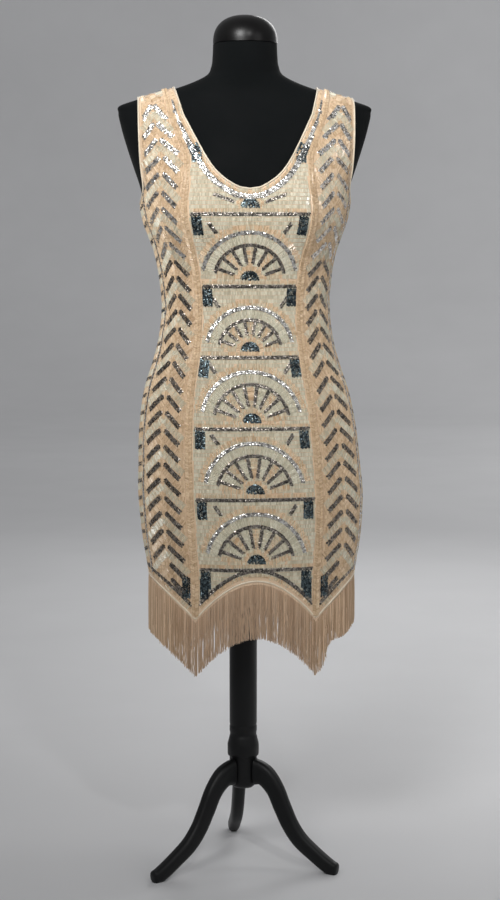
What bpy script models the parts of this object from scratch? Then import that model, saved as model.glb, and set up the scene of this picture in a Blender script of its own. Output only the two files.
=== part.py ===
"""A beaded flapper dress on a limbless dress form with a turned post and three curved legs.

Everything is in metres, +Z up, with the floor at z = 0 and the front facing -Y. One table of body sections
gives the inside of the cloth. The dress wall stands outside it and the form lies inside it.
"""

import math
from typing import NamedTuple

import bmesh
import bpy
import numpy as np

# Cloth
WALL = 0.0016
SEAM_GAP = 0.0003
FORM_BOTTOM_Z = 0.505
AXIS_Y = -0.027

# The hem is a row of arches that meet in four hanging points.
HEM_ARCH_Z = 0.461
HEM_DROP = 0.0600
HEM_POINT = 0.44
HEM_CURVE = 0.9

# Neck and armholes, as shares of the quarter girth and heights
NECK_EDGE = 0.305
ARM_EDGE = 0.82
ARM_SIDE_Z = 1.020
ARM_CORNER_Z = 1.043
ARM_CURVE = 2.2
CHEST_Z = 1.0150
CHEST_CURVE = 5
ARM_PULL_CURVE = 6
STRAP_FOOT_RISE = 0.0185
SHOULDER_SEARCH = (1.1600, 1.2600)
YOKE_CORNER = (6, 4)

# Trims
PIPING_RADIUS = 0.0012
STRIP_HEIGHT = 0.0050
FRINGE_LENGTH = 0.088
STRAND_PITCH = 0.0060
STRAND_SHARE = 0.60
STRAND_TIP = 0.0008
RIB_REACH = 0.025
RIB_EDGE_THICK = 0.0008
RIB_CREST_THICK = 0.0015
STRAP_RIB_SPREAD = 0.057
STRAP_RIB_FADE = 0.4

# Stand. The post stands a little off the torso's middle, and the legs splay a little unevenly.
POST_X = -0.003
LEG_SPLAY = ((-53.5, 1.053), (58.0, 0.947), (182.0, 0.988))
FLANGE_RADIUS, FLANGE_DEPTH, FLANGE_EDGE = 0.046, 0.014, 0.004
LEG_SQUARENESS = 0.7
FOOT_FLAT = 0.0016

# Distances from a cloth edge, in the cloth's surface
BINDING_OFF = PIPING_RADIUS + SEAM_GAP
BINDING_LIFT = PIPING_RADIUS + 0.0006
STRIP_OFF = 2 * PIPING_RADIUS + 2 * SEAM_GAP
MITRE_LIMIT = 0.5
STRAND_WAVE = 0.0025


class Section(NamedTuple):
    """One level of the body: half width, depth in front of and behind the axis, and sideways hang."""

    z: float
    half: float
    front: float
    back: float
    hang: float
    ease: float


class NeckPoint(NamedTuple):
    """One point of half a neckline: how far from the centre at a height."""

    x: float
    z: float


class LegPoint(NamedTuple):
    """One station of a leg: reach from the post's axis, height, half height and half width."""

    reach: float
    z: float
    tall: float
    wide: float


BODY = [
    Section(0.3000, 0.1548, 0.1030, 0.1130, 0.0100, 0.0180),
    Section(0.4200, 0.1563, 0.1030, 0.1140, 0.0100, 0.0180),
    Section(0.4566, 0.1568, 0.1030, 0.1150, 0.0100, 0.0180),
    Section(0.4786, 0.1594, 0.1040, 0.1160, 0.0100, 0.0180),
    Section(0.5100, 0.1645, 0.1050, 0.1170, 0.0098, 0.0175),
    Section(0.5487, 0.1684, 0.1060, 0.1180, 0.0092, 0.0165),
    Section(0.5907, 0.1698, 0.1070, 0.1180, 0.0080, 0.0150),
    Section(0.6300, 0.1671, 0.1070, 0.1160, 0.0062, 0.0130),
    Section(0.6617, 0.1654, 0.1060, 0.1140, 0.0046, 0.0110),
    Section(0.6928, 0.1618, 0.1040, 0.1110, 0.0034, 0.0095),
    Section(0.7234, 0.1572, 0.1010, 0.1060, 0.0024, 0.0085),
    Section(0.7497, 0.1508, 0.0980, 0.1010, 0.0015, 0.0075),
    Section(0.7786, 0.1410, 0.0950, 0.0950, 0.0012, 0.0070),
    Section(0.8075, 0.1329, 0.0920, 0.0900, 0.0012, 0.0065),
    Section(0.8400, 0.1272, 0.0903, 0.0862, 0.0012, 0.0060),
    Section(0.8750, 0.1256, 0.0905, 0.0850, 0.0010, 0.0060),
    Section(0.9020, 0.1276, 0.0930, 0.0850, 0.0006, 0.0055),
    Section(0.9250, 0.1306, 0.0970, 0.0860, 0.0002, 0.0050),
    Section(0.9520, 0.1367, 0.1030, 0.0880, 0.0000, 0.0045),
    Section(0.9736, 0.1448, 0.1080, 0.0895, 0.0000, 0.0040),
    Section(0.9930, 0.1518, 0.1110, 0.0900, 0.0000, 0.0034),
    Section(1.0155, 0.1567, 0.1110, 0.0900, 0.0000, 0.0028),
    Section(1.0430, 0.1604, 0.1080, 0.0890, 0.0000, 0.0022),
    Section(1.0757, 0.1702, 0.1000, 0.0865, 0.0000, 0.0015),
    Section(1.1015, 0.1784, 0.0915, 0.0830, 0.0000, 0.0012),
    Section(1.1387, 0.1888, 0.0745, 0.0745, 0.0000, 0.0010),
    Section(1.1580, 0.1925, 0.0640, 0.0690, 0.0000, 0.0012),
    Section(1.1687, 0.1905, 0.0570, 0.0650, 0.0000, 0.0012),
    Section(1.1770, 0.1670, 0.0520, 0.0620, 0.0000, 0.0008),
    Section(1.1850, 0.1400, 0.0495, 0.0600, 0.0000, 0.0008),
    Section(1.1930, 0.1120, 0.0485, 0.0580, 0.0000, 0.0008),
    Section(1.2046, 0.0790, 0.0490, 0.0560, 0.0000, 0.0008),
    Section(1.2150, 0.0590, 0.0505, 0.0530, 0.0000, 0.0008),
    Section(1.2280, 0.0520, 0.0530, 0.0500, 0.0000, 0.0008),
    Section(1.2430, 0.0500, 0.0550, 0.0470, 0.0000, 0.0008),
    Section(1.2600, 0.0492, 0.0560, 0.0440, 0.0000, 0.0008),
]
SQUARENESS = 2.2
BUST_X, BUST_Z, BUST_SWELL = 0.078, 0.998, 0.013
BUST_WIDE, BUST_TALL = 0.042, 0.050
FORM_SWELL = 0.88
SEAM_FADE = 8
NECK_TOP_Z = 1.2600
SHOULDER_Z, SHOULDER_DROP, SHOULDER_BLEND = 1.150, 0.0007, 0.020
FORM_LEVELS = np.concatenate([
    np.linspace(FORM_BOTTOM_Z, 0.96, 14),
    np.linspace(0.984, 1.150, 8),
    [1.161, 1.168, 1.174, 1.180, 1.187, 1.194, 1.201, 1.208, 1.216, 1.226, 1.242, NECK_TOP_Z],
])
FORM_AROUND = 36
CAP_HEIGHT = 0.0430
CAP_ROUND = 0.85
CAP_BAND = 0.06
CAP_AROUND = 28

FRONT_NECK = [
    NeckPoint(0.000, 1.0400),
    NeckPoint(0.016, 1.0422),
    NeckPoint(0.029, 1.0492),
    NeckPoint(0.041, 1.0575),
    NeckPoint(0.050, 1.0665),
    NeckPoint(0.058, 1.0770),
    NeckPoint(0.067, 1.0920),
    NeckPoint(0.078, 1.1130),
    NeckPoint(0.087, 1.1310),
    NeckPoint(0.097, 1.1510),
    NeckPoint(0.111, 1.2000),
]
BACK_NECK = [
    NeckPoint(0.000, 1.0800),
    NeckPoint(0.020, 1.0830),
    NeckPoint(0.038, 1.0910),
    NeckPoint(0.052, 1.1010),
    NeckPoint(0.066, 1.1150),
    NeckPoint(0.080, 1.1320),
    NeckPoint(0.094, 1.1520),
    NeckPoint(0.104, 1.1700),
    NeckPoint(0.111, 1.2000),
]
ARM_LINE = [
    NeckPoint(0.1510, 1.0430),
    NeckPoint(0.1560, 1.0700),
    NeckPoint(0.1580, 1.1000),
    NeckPoint(0.1592, 1.1400),
    NeckPoint(0.1600, 1.2000),
]

LEG = [
    LegPoint(0.0217, 0.1440, 0.0205, 0.0110),
    LegPoint(0.0400, 0.1390, 0.0170, 0.0110),
    LegPoint(0.0580, 0.1200, 0.0145, 0.0105),
    LegPoint(0.0720, 0.0925, 0.0138, 0.0102),
    LegPoint(0.0860, 0.0670, 0.0132, 0.0100),
    LegPoint(0.1040, 0.0455, 0.0128, 0.0098),
    LegPoint(0.1300, 0.0270, 0.0120, 0.0095),
    LegPoint(0.1560, 0.0115, 0.0115, 0.0092),
    LegPoint(0.1720, 0.0085, 0.0085, 0.0080),
]

POST = [
    (0.0150, 0.1180),
    (0.0190, 0.1215),
    (0.0213, 0.1280),
    (0.0213, 0.1670),
    (0.0240, 0.1695),
    (0.0242, 0.1880),
    (0.0215, 0.1990),
    (0.0208, 0.2060),
    (0.0212, 0.2080),
    (0.0212, 0.2150),
    (0.0206, 0.2170),
    (0.0212, 0.2190),
    (0.0214, 0.3000),
    (0.0214, FORM_BOTTOM_Z - FLANGE_DEPTH - 2 * SEAM_GAP),
]

BODY_Z = np.array([row.z for row in BODY])

# The panels' grid: columns by their share of the quarter girth, and rows from the hem up
COLUMNS = [0.0, 0.08, 0.16, 0.235, NECK_EDGE, HEM_POINT - RIB_REACH, HEM_POINT, HEM_POINT + RIB_REACH]
COLUMNS += [0.535, 0.605, 0.675, 0.747, ARM_EDGE, 0.91, 1.0]
SKIRT_ROWS, YOKE_ROWS, STRAP_ROWS = 15, 3, 8
ROW_CROWDING = 1.3
TOP_ROW = SKIRT_ROWS + YOKE_ROWS + STRAP_ROWS
NECK_COLUMN, POINT_COLUMN, ARM_COLUMN = (COLUMNS.index(share) for share in (NECK_EDGE, HEM_POINT, ARM_EDGE))

COLOURS = {
    "cloth": ((0.78, 0.66, 0.52, 1), 0.6, 0.0),
    "trim": ((0.86, 0.78, 0.62, 1), 0.4, 0.0),
    "rib": ((0.86, 0.66, 0.48, 1), 0.4, 0.0),
    "fringe": ((0.56, 0.42, 0.30, 1), 0.5, 0.0),
    "jersey": ((0.012, 0.013, 0.014, 1), 0.8, 0.0),
    "cap": ((0.012, 0.012, 0.012, 1), 0.35, 0.0),
    "wood": ((0.014, 0.014, 0.015, 1), 0.45, 0.0),
}


def clear_scene():
    """Removes whatever the scene held before."""
    for thing in list(bpy.data.objects):
        bpy.data.objects.remove(thing)


def smooth_column(name):
    """A smooth curve of one column of the body table against height."""
    values = np.array([getattr(row, name) for row in BODY])
    slope = np.gradient(values, BODY_Z)

    def at(z):
        z = np.clip(z, BODY_Z[0], BODY_Z[-1])
        i = np.clip(np.searchsorted(BODY_Z, z) - 1, 0, len(BODY_Z) - 2)
        step = BODY_Z[i + 1] - BODY_Z[i]
        t = (z - BODY_Z[i]) / step
        start = values[i] * (1 + 2 * t) * (1 - t) ** 2 + values[i + 1] * t * t * (3 - 2 * t)
        return start + step * (slope[i] * t * (1 - t) ** 2 - slope[i + 1] * t * t * (1 - t))

    return at


HALF, FRONT, BACK = smooth_column("half"), smooth_column("front"), smooth_column("back")
HANG, EASE = smooth_column("hang"), smooth_column("ease")


def swell_at(x, z, side):
    """How far the bust stands proud of the body's ring in front. It fades to nothing at the side seam."""
    if side > 0:
        return np.abs(x) * 0
    across = np.exp(-(((np.abs(x) - BUST_X) / BUST_WIDE) ** 2))
    seam = 1 - np.clip(np.abs(x) / HALF(z), 0, 1) ** SEAM_FADE
    return BUST_SWELL * seam * across * np.exp(-(((z - BUST_Z) / BUST_TALL) ** 2))


def depth_at(x, z, side):
    """How far the body reaches in front of (side -1) or behind (side 1) its axis at x and height z."""
    reach = FRONT(z) if side < 0 else BACK(z)
    share = np.clip(np.abs(x) / HALF(z), 0, 1)
    return reach * (1 - share**SQUARENESS) ** (1 / SQUARENESS) + swell_at(x, z, side)


def body_point(x, z, side):
    """The point of the body's skin at x from its middle, at height z, in front (-1) or behind (1)."""
    return np.array([x + HANG(z), side * depth_at(x, z, side) + AXIS_Y, z])


def ring(z, side, count=121):
    """Points x along half a level ring, and the girth run from the middle to each."""
    angle = np.linspace(0, math.pi / 2, count)
    x = HALF(z) * np.sin(angle) ** (2 / SQUARENESS)
    y = depth_at(x, z, side)
    run = np.concatenate([[0], np.cumsum(np.hypot(np.diff(x), np.diff(y)))])
    return x, run


def ring_x(z, share, side):
    """The x of the point at that share of the quarter girth, which is 1 at the side seam."""
    x, run = ring(z, side)
    return math.copysign(np.interp(abs(share) * run[-1], run, x), share)


def line_x(line, z):
    """The x of a neckline or armhole at height z."""
    return float(np.interp(z, [p.z for p in line], [p.x for p in line]))


def neck_z(line, x):
    """The height of a neckline at x."""
    return float(np.interp(abs(x), [p.x for p in line], [p.z for p in line]))


def hem_z(share):
    """Height of the hem: arches that are flat at the middles and side seams and fall to four points."""
    share = abs(share)
    inner = share / HEM_POINT
    outer = (1 - share) / (1 - HEM_POINT)
    away = min(inner, outer)
    return HEM_ARCH_Z - HEM_DROP * (1 - math.cos(away * math.pi / 2) ** HEM_CURVE)


def outside_measure(point, side):
    """1 on the body's skin, more outside it and less inside it."""
    x, y, z = point
    share = abs(x - HANG(z)) / HALF(z)
    reach = FRONT(z) if side < 0 else BACK(z)
    depth = max(abs(y - AXIS_Y) - swell_at(x - HANG(z), z, side), 0)
    return share**SQUARENESS + (depth / reach) ** SQUARENESS


def outward(point, side):
    """The body's outward direction at a point of its skin."""
    tiny = 1e-5
    steps = tiny * np.eye(3)
    rise = [outside_measure(point + step, side) - outside_measure(point - step, side) for step in steps]
    return np.array(rise) / np.linalg.norm(rise)


def armhole_z(share):
    """Height of the row that carries the armhole's lower curve and crosses the chest."""
    if share >= ARM_EDGE:
        t = (1 - share) / (1 - ARM_EDGE)
        return ARM_SIDE_Z + (ARM_CORNER_Z - ARM_SIDE_Z) * t**ARM_CURVE
    t = share / ARM_EDGE
    return CHEST_Z + (ARM_CORNER_Z - CHEST_Z) * t**CHEST_CURVE


def strap_across(share):
    """How far a column lies across the strap: 0 at the neck, 1 at the armhole. The rib keeps its width."""
    off = (share - HEM_POINT) / RIB_REACH
    spread = STRAP_RIB_SPREAD * off * max(0, 1 + STRAP_RIB_FADE - STRAP_RIB_FADE * abs(off))
    return (share - NECK_EDGE) / (ARM_EDGE - NECK_EDGE) + spread


def strap_x(line, across, z):
    """The x of a place across the strap at height z."""
    inner = line_x(line, z)
    return inner + (line_x(ARM_LINE, z) - inner) * across


def strap_top(line, across):
    """Height of the shoulder seam at a place across the strap."""
    low, high = SHOULDER_SEARCH
    for _ in range(40):
        middle = (low + high) / 2
        low, high = (middle, high) if HALF(middle) > strap_x(line, across, middle) else (low, middle)
    return low


def yoke_point(share, line):
    """x and z of the row that carries the neckline's lower curve and crosses to the armhole."""
    corner = line[YOKE_CORNER[line is BACK_NECK]]
    if share <= NECK_EDGE:
        x = corner.x * share / NECK_EDGE
        return x, neck_z(line, x)
    t = strap_across(share)
    z = corner.z + STRAP_FOOT_RISE * t
    return corner.x + (line_x(ARM_LINE, z) - corner.x) * t, z


def panel_point(row, column, side):
    """A point of the cloth's inside on one panel's grid. Rows run from the hem to the shoulder."""
    line = FRONT_NECK if side < 0 else BACK_NECK
    share = COLUMNS[column]
    low, high = hem_z(share), armhole_z(share)
    if row <= SKIRT_ROWS:
        t = 1 - (1 - row / SKIRT_ROWS) ** ROW_CROWDING
        z = low + (high - low) * t
        x = ring_x(z, share, side)
        at_arm = line_x(ARM_LINE, ARM_CORNER_Z) - ring_x(high, ARM_EDGE, side)
        pull = min(share / ARM_EDGE, (1 - share) / (1 - ARM_EDGE) if share > ARM_EDGE else 1)
        return min(x + at_arm * pull * t**ARM_PULL_CURVE, HALF(z)), z
    start = panel_point(SKIRT_ROWS, column, side)
    foot = yoke_point(share, line)
    if row <= SKIRT_ROWS + YOKE_ROWS:
        t = (row - SKIRT_ROWS) / YOKE_ROWS
        z = start[1] + (foot[1] - start[1]) * t
        if column == ARM_COLUMN:
            return line_x(ARM_LINE, z), z
        return start[0] + (foot[0] - start[0]) * t, z
    t = (row - SKIRT_ROWS - YOKE_ROWS) / STRAP_ROWS
    across = strap_across(share)
    z = foot[1] + (strap_top(line, across) - foot[1]) * (1 - (1 - t) ** 2)
    return min(strap_x(line, across, z), HALF(z) * (1 - 1e-9)), z


def in_panel(row, column):
    """True where the panel's grid has a point: the straps rise beside the neck and the armholes."""
    if row <= SKIRT_ROWS:
        return True
    if row <= SKIRT_ROWS + YOKE_ROWS:
        return column <= ARM_COLUMN
    return NECK_COLUMN <= column <= ARM_COLUMN


def seam_shift(point, side):
    """Moves a point that lies on the side or shoulder seam to its own side of the gap."""
    limit = SEAM_GAP / 2
    if side * (point[1] - AXIS_Y) < limit:
        point = np.array([point[0], AXIS_Y + side * limit, point[2]])
    return point


def panel_grid(side):
    """The cloth's inside points and outward directions, by (row, signed column)."""
    points, normals = {}, {}
    for row in range(TOP_ROW + 1):
        for column in range(len(COLUMNS)):
            if not in_panel(row, column):
                continue
            x, z = panel_point(row, column, side)
            for hand in (-1, 1):
                here = body_point(hand * x, z, side)
                points[row, hand * column] = seam_shift(here, side)
                normals[row, hand * column] = outward(here, side)
    return points, normals


def mesh_object(name, vertices, faces, colour, flat=False):
    """A named object with its own material, shaded smooth away from its sharp edges."""
    mesh = bpy.data.meshes.new(name)
    mesh.from_pydata([tuple(map(float, v)) for v in vertices], [], [tuple(map(int, f)) for f in faces])
    work = bmesh.new()
    work.from_mesh(mesh)
    bmesh.ops.recalc_face_normals(work, faces=work.faces)
    work.to_mesh(mesh)
    work.free()
    if not flat:
        mesh.shade_smooth()
        mesh.set_sharp_from_angle(angle=math.radians(40))
    thing = bpy.data.objects.new(name, mesh)
    bpy.context.scene.collection.objects.link(thing)
    mesh.materials.append(material(name, colour))
    return thing


def material(name, colour):
    """A plain finish with the colour, roughness and metallic value of one entry of COLOURS."""
    base, rough, metal = COLOURS[colour]
    finish = bpy.data.materials.new(name)
    finish.use_nodes = True
    shader = finish.node_tree.nodes["Principled BSDF"]
    shader.inputs["Base Color"].default_value = base
    shader.inputs["Roughness"].default_value = rough
    shader.inputs["Metallic"].default_value = metal
    return finish


def thickened(name, points, normals, quads, colour):
    """A closed wall: the inside at the points, the outside moved out by WALL, and a rim between them."""
    keys = sorted({key for quad in quads for key in quad})
    index = {key: i for i, key in enumerate(keys)}
    count = len(keys)
    inside = [points[key] for key in keys]
    outside = [points[key] + WALL * normals[key] for key in keys]
    faces, edges = [], {}
    for quad in quads:
        loop = [index[key] for key in quad]
        faces.append(loop)
        faces.append([i + count for i in reversed(loop)])
        for a, b in zip(loop, loop[1:] + loop[:1]):
            edges[(a, b)] = True
    for a, b in edges:
        if (b, a) not in edges:
            faces.append([b, a, a + count, b + count])
    return mesh_object(name, inside + outside, faces, colour)


def make_panel(name, side):
    """Builds the front (-1) or back (1) of the dress, one cloth up to the shoulder, and returns its grid."""
    points, normals = panel_grid(side)
    last = len(COLUMNS) - 1
    quads = []
    for row in range(TOP_ROW):
        for column in range(-last, last):
            corners = [(row, column), (row, column + 1), (row + 1, column + 1), (row + 1, column)]
            if all(corner in points for corner in corners):
                quads.append(corners)
    thickened(name, points, normals, quads, "cloth")
    return points, normals


def edge_keys(kind, hand=1):
    """The grid keys along one edge of a panel, in order: the hem, the neck, or one armhole, foot first."""
    last = len(COLUMNS) - 1
    if kind == "hem":
        return [(0, column) for column in range(-last, last + 1)]
    if kind == "neck":
        foot = SKIRT_ROWS + YOKE_ROWS
        down = [(row, -NECK_COLUMN) for row in range(TOP_ROW, foot, -1)]
        across = [(foot, column) for column in range(-NECK_COLUMN, NECK_COLUMN + 1)]
        return down + across + [(row, -column) for row, column in reversed(down)]
    under = [(SKIRT_ROWS, hand * column) for column in range(last, ARM_COLUMN, -1)]
    return under + [(row, hand * ARM_COLUMN) for row in range(SKIRT_ROWS, TOP_ROW + 1)]


def directions(path, closed, end_way=None):
    """Unit vectors along a path, at its points: before each and after each."""
    path = np.asarray(path)
    after = np.roll(path, -1, axis=0) - path
    before = np.roll(after, 1, axis=0)
    if not closed:
        before[0], after[-1] = after[0], after[-2]
        if end_way is not None:
            before[0] = np.array(end_way) * math.copysign(1, after[0] @ end_way)
            after[-1] = np.array(end_way) * math.copysign(1, before[-1] @ end_way)
    units = [rows / np.linalg.norm(rows, axis=1)[:, None] for rows in (before, after)]
    return units


def beside_edge(skin, out, away, lift, off_way, closed=False):
    """A path a distance away from a cloth edge, in the cloth's own surface, mitred at the corners.

    off_way tells which side of the middle of the edge is off the cloth.
    """
    skin, out = np.array(skin), np.array(out)
    before, after = directions(skin, closed)
    offs = []
    for along in (before, after):
        off = np.cross(along, out)
        offs.append(off / np.linalg.norm(off, axis=1)[:, None])
    middle = offs[0] + offs[1]
    middle /= np.linalg.norm(middle, axis=1)[:, None]
    mitre = np.clip(np.sum(middle * offs[0], axis=1), MITRE_LIMIT, 1)[:, None]
    if middle[len(skin) // 2] @ np.array(off_way) < 0:
        middle = -middle
    return skin + middle * away / mitre + out * lift


def tube(name, path, colour, closed=False, end_way=None, sides=5):
    """A round cord along a path, joined into a loop or with flat ends that lie square to end_way."""
    path = np.array(path)
    before, after = directions(path, closed, end_way)
    along = before + after
    if end_way is not None:
        along[0], along[-1] = before[0], after[-1]
    along /= np.linalg.norm(along, axis=1)[:, None]
    first = np.cross(along[0], (0.1, 0.2, 1.0))
    frames = [first / np.linalg.norm(first)]
    for direction in along[1:]:
        side = frames[-1] - direction * (frames[-1] @ direction)
        frames.append(side / np.linalg.norm(side))
    vertices, faces = [], []
    for point, direction, side in zip(path, along, frames):
        other = np.cross(direction, side)
        for k in range(sides):
            angle = 2 * math.pi * k / sides
            vertices.append(point + PIPING_RADIUS * (math.cos(angle) * side + math.sin(angle) * other))
    count = len(path)
    joins = count if closed else count - 1
    start_ring = np.array(vertices[:sides])
    last_ring = np.array(vertices[-sides:])
    turn = min(range(sides), key=lambda k: np.linalg.norm(np.roll(last_ring, -k, axis=0) - start_ring))
    for i in range(joins):
        shift = turn if i == count - 1 else 0
        for k in range(sides):
            a, b = i * sides + (k + shift) % sides, i * sides + (k + 1 + shift) % sides
            j = (i + 1) % count * sides
            faces.append([a, b, j + (k + 1) % sides, j + k])
    if not closed:
        faces.append(list(range(sides))[::-1])
        faces.append([(count - 1) * sides + k for k in range(sides)])
    return mesh_object(name, vertices, faces, colour)


def make_loop_binding(name, kind, panels, off_way, hand=1):
    """One narrow binding round the neck or an armhole, along the front's edge and back along the back's."""
    skin, out = [], []
    for side, keys in ((-1, edge_keys(kind, hand)), (1, edge_keys(kind, hand)[::-1])):
        points, normals = panels[side]
        skin.extend(points[key] for key in keys[:-1])
        out.extend(normals[key] for key in keys[:-1])
    path = beside_edge(skin, out, BINDING_OFF, BINDING_LIFT, off_way, closed=True)
    return tube(name, path, "trim", closed=True)


def make_hem_piping(name, side, panels):
    """The pale piping along one half of the hem."""
    points, normals = panels[side]
    keys = edge_keys("hem")
    skin, out = [points[key] for key in keys], [normals[key] for key in keys]
    path = beside_edge(skin, out, BINDING_OFF, WALL / 2, (0, 0, -1))
    return tube(name, path, "trim", end_way=(0, 1, 0))


def strand_stops(run, corners):
    """Where strands begin and end along the strip. The hem's points always fall on the edge of a strand."""
    stops = []
    for low, high in zip(corners[:-1], corners[1:]):
        last_stretch = high == corners[-1]
        count = round((run[high] - run[low]) / STRAND_PITCH)
        pitch = (run[high] - run[low]) / (count - 1 + STRAND_SHARE if last_stretch else count)
        for strand in range(count):
            stops += [run[low] + strand * pitch, run[low] + (strand + STRAND_SHARE) * pitch]
    return stops


def make_fringe(name, side, panels):
    """Half of the fringe: a narrow strip below the piping with the strands' roots fused into it.

    The strip's cells alternate between a strand and a space. A strand grows out of its cell's lower face.
    """
    points, normals = panels[side]
    keys = edge_keys("hem")
    skin, out = [points[key] for key in keys], [normals[key] for key in keys]
    upper = beside_edge(skin, out, STRIP_OFF, WALL / 2, (0, 0, -1))
    lower = beside_edge(skin, out, STRIP_OFF + STRIP_HEIGHT, WALL / 2, (0, 0, -1))
    run = np.concatenate([[0], np.cumsum(np.linalg.norm(np.diff(lower, axis=0), axis=1))])
    centre = len(COLUMNS) - 1
    stops = strand_stops(run, [0, centre - POINT_COLUMN, centre + POINT_COLUMN, 2 * centre])

    def at(rows, stop):
        return np.array([np.interp(stop, run, np.array(rows)[:, k]) for k in range(3)])

    vertices, faces = [], []
    for stop in stops:
        half = WALL / 2 * at(out, stop)
        top, low = at(upper, stop), at(lower, stop)
        vertices += [seam_shift(p, side) for p in (top - half, top + half, low + half, low - half)]
    for i in range(len(stops) - 1):
        a, b = 4 * i, 4 * (i + 1)
        for k in (0, 1, 3):
            faces.append([a + k, a + (k + 1) % 4, b + (k + 1) % 4, b + k])
        if i % 2:
            faces.append([a + 2, a + 3, b + 3, b + 2])
    last = 4 * (len(stops) - 1)
    faces += [[3, 2, 1, 0], [last, last + 1, last + 2, last + 3]]
    for strand in range(len(stops) // 2):
        a, b = 8 * strand, 8 * strand + 4
        root = [a + 3, a + 2, b + 2, b + 3]
        corners = np.array([vertices[i] for i in root])
        middle = corners.mean(axis=0)
        wave = STRAND_WAVE * math.sin(2.4 * strand) * math.cos(0.7 * strand)
        hem = at(skin, (stops[2 * strand] + stops[2 * strand + 1]) / 2)[2]
        tip = (corners - middle) * np.array([1, 1, 0])
        tip *= STRAND_TIP / np.abs(tip).max()
        first = len(vertices)
        vertices.extend(np.array([middle[0], middle[1], hem - FRINGE_LENGTH + wave]) + tip)
        for k in range(4):
            faces.append([root[k], root[(k + 1) % 4], first + (k + 1) % 4, first + k])
        faces.append([first, first + 1, first + 2, first + 3])
    return mesh_object(name, vertices, faces, "fringe", flat=True)


def make_rib(name, hand, panel):
    """A raised band from the hem to the shoulder seam, made of the panel's own outer points moved out."""
    points, normals = panel
    columns = [hand * (POINT_COLUMN + step) for step in (-1, 0, 1)]
    thick = [RIB_EDGE_THICK, RIB_CREST_THICK, RIB_EDGE_THICK]
    vertices, faces = [], []
    for row in range(TOP_ROW + 1):
        for column in columns:
            vertices.append(points[row, column] + (WALL + SEAM_GAP) * normals[row, column])
        for column, rise in zip(reversed(columns), reversed(thick)):
            vertices.append(points[row, column] + (WALL + SEAM_GAP + rise) * normals[row, column])
    for i in range(TOP_ROW):
        for k in range(6):
            a, b = 6 * i + k, 6 * i + (k + 1) % 6
            faces.append([a, b, b + 6, a + 6])
    faces.append([5, 4, 3, 2, 1, 0])
    faces.append([6 * TOP_ROW + k for k in range(6)])
    return mesh_object(name, vertices, faces, "rib")


def make_form():
    """The limbless torso, smooth all round, with its neck. It lies inside the cloth by the ease."""
    vertices, faces = [], []
    for z in FORM_LEVELS:
        inset = EASE(z) + SEAM_GAP
        sink = SHOULDER_DROP * np.clip((z - SHOULDER_Z) / SHOULDER_BLEND, 0, 1)
        sink *= np.clip((NECK_TOP_Z - z) / SHOULDER_BLEND, 0, 1)
        for k in range(FORM_AROUND):
            angle = 2 * math.pi * k / FORM_AROUND
            side = -1 if math.cos(angle) > 0 else 1
            x = (HALF(z) - inset) * math.copysign(abs(math.sin(angle)) ** (2 / SQUARENESS), math.sin(angle))
            reach = (FRONT(z) if side < 0 else BACK(z)) - inset
            depth = reach * abs(math.cos(angle)) ** (2 / SQUARENESS) + FORM_SWELL * swell_at(x, z, side)
            vertices.append((x, side * depth + AXIS_Y, z - sink))
    skin_rings(faces, len(FORM_LEVELS), FORM_AROUND)
    return mesh_object("dress_form", vertices, faces, "jersey")


def skin_rings(faces, rings, around):
    """Adds the faces of a solid made of level rings of points, with flat ends."""
    for i in range(rings - 1):
        for k in range(around):
            j = (k + 1) % around
            faces.append([i * around + k, i * around + j, (i + 1) * around + j, (i + 1) * around + k])
    faces.append(list(range(around))[::-1])
    faces.append([(rings - 1) * around + k for k in range(around)])


def make_neck_cap():
    """The domed cap on the neck, a little glossier than the torso."""
    base = NECK_TOP_Z + SEAM_GAP
    half, front, back = (float(curve(NECK_TOP_Z) - EASE(NECK_TOP_Z)) for curve in (HALF, FRONT, BACK))
    profile = [(1.0, 0.0), (1.0, CAP_BAND)]
    for a in np.linspace(0.16, 1.44, 8):
        profile.append((math.cos(a) ** CAP_ROUND, CAP_BAND + (1 - CAP_BAND) * math.sin(a) ** CAP_ROUND))
    vertices, faces = [], []
    for share, lift in profile:
        for k in range(CAP_AROUND):
            angle = 2 * math.pi * k / CAP_AROUND
            x = half * share * math.sin(angle)
            y = AXIS_Y + (back - front) / 2 - (front + back) / 2 * share * math.cos(angle)
            vertices.append((x, y, base + CAP_HEIGHT * lift))
    skin_rings(faces, len(profile), CAP_AROUND)
    return mesh_object("neck_cap", vertices, faces, "cap")


def turned(name, profile, colour, around=20):
    """A solid turned about the post's axis from radius and height pairs, bottom to top."""
    vertices, faces = [], []
    for radius, z in profile:
        for k in range(around):
            angle = 2 * math.pi * k / around
            vertices.append((POST_X + radius * math.sin(angle), AXIS_Y - radius * math.cos(angle), z))
    skin_rings(faces, len(profile), around)
    return mesh_object(name, vertices, faces, colour)


def leg_curve(t):
    """A smooth curve through the leg's stations, 0 at the post and 1 at the foot."""
    rows = np.array(LEG)
    place = t * (len(rows) - 1)
    i = min(int(place), len(rows) - 2)
    u = place - i
    before, start = rows[max(i - 1, 0)], rows[i]
    end, after = rows[i + 1], rows[min(i + 2, len(rows) - 1)]
    ease = np.array([-0.5 * u + u * u - 0.5 * u**3, 1 - 2.5 * u * u + 1.5 * u**3,
                     0.5 * u + 2 * u * u - 1.5 * u**3, -0.5 * u * u + 0.5 * u**3])
    return ease @ np.array([before, start, end, after])


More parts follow.
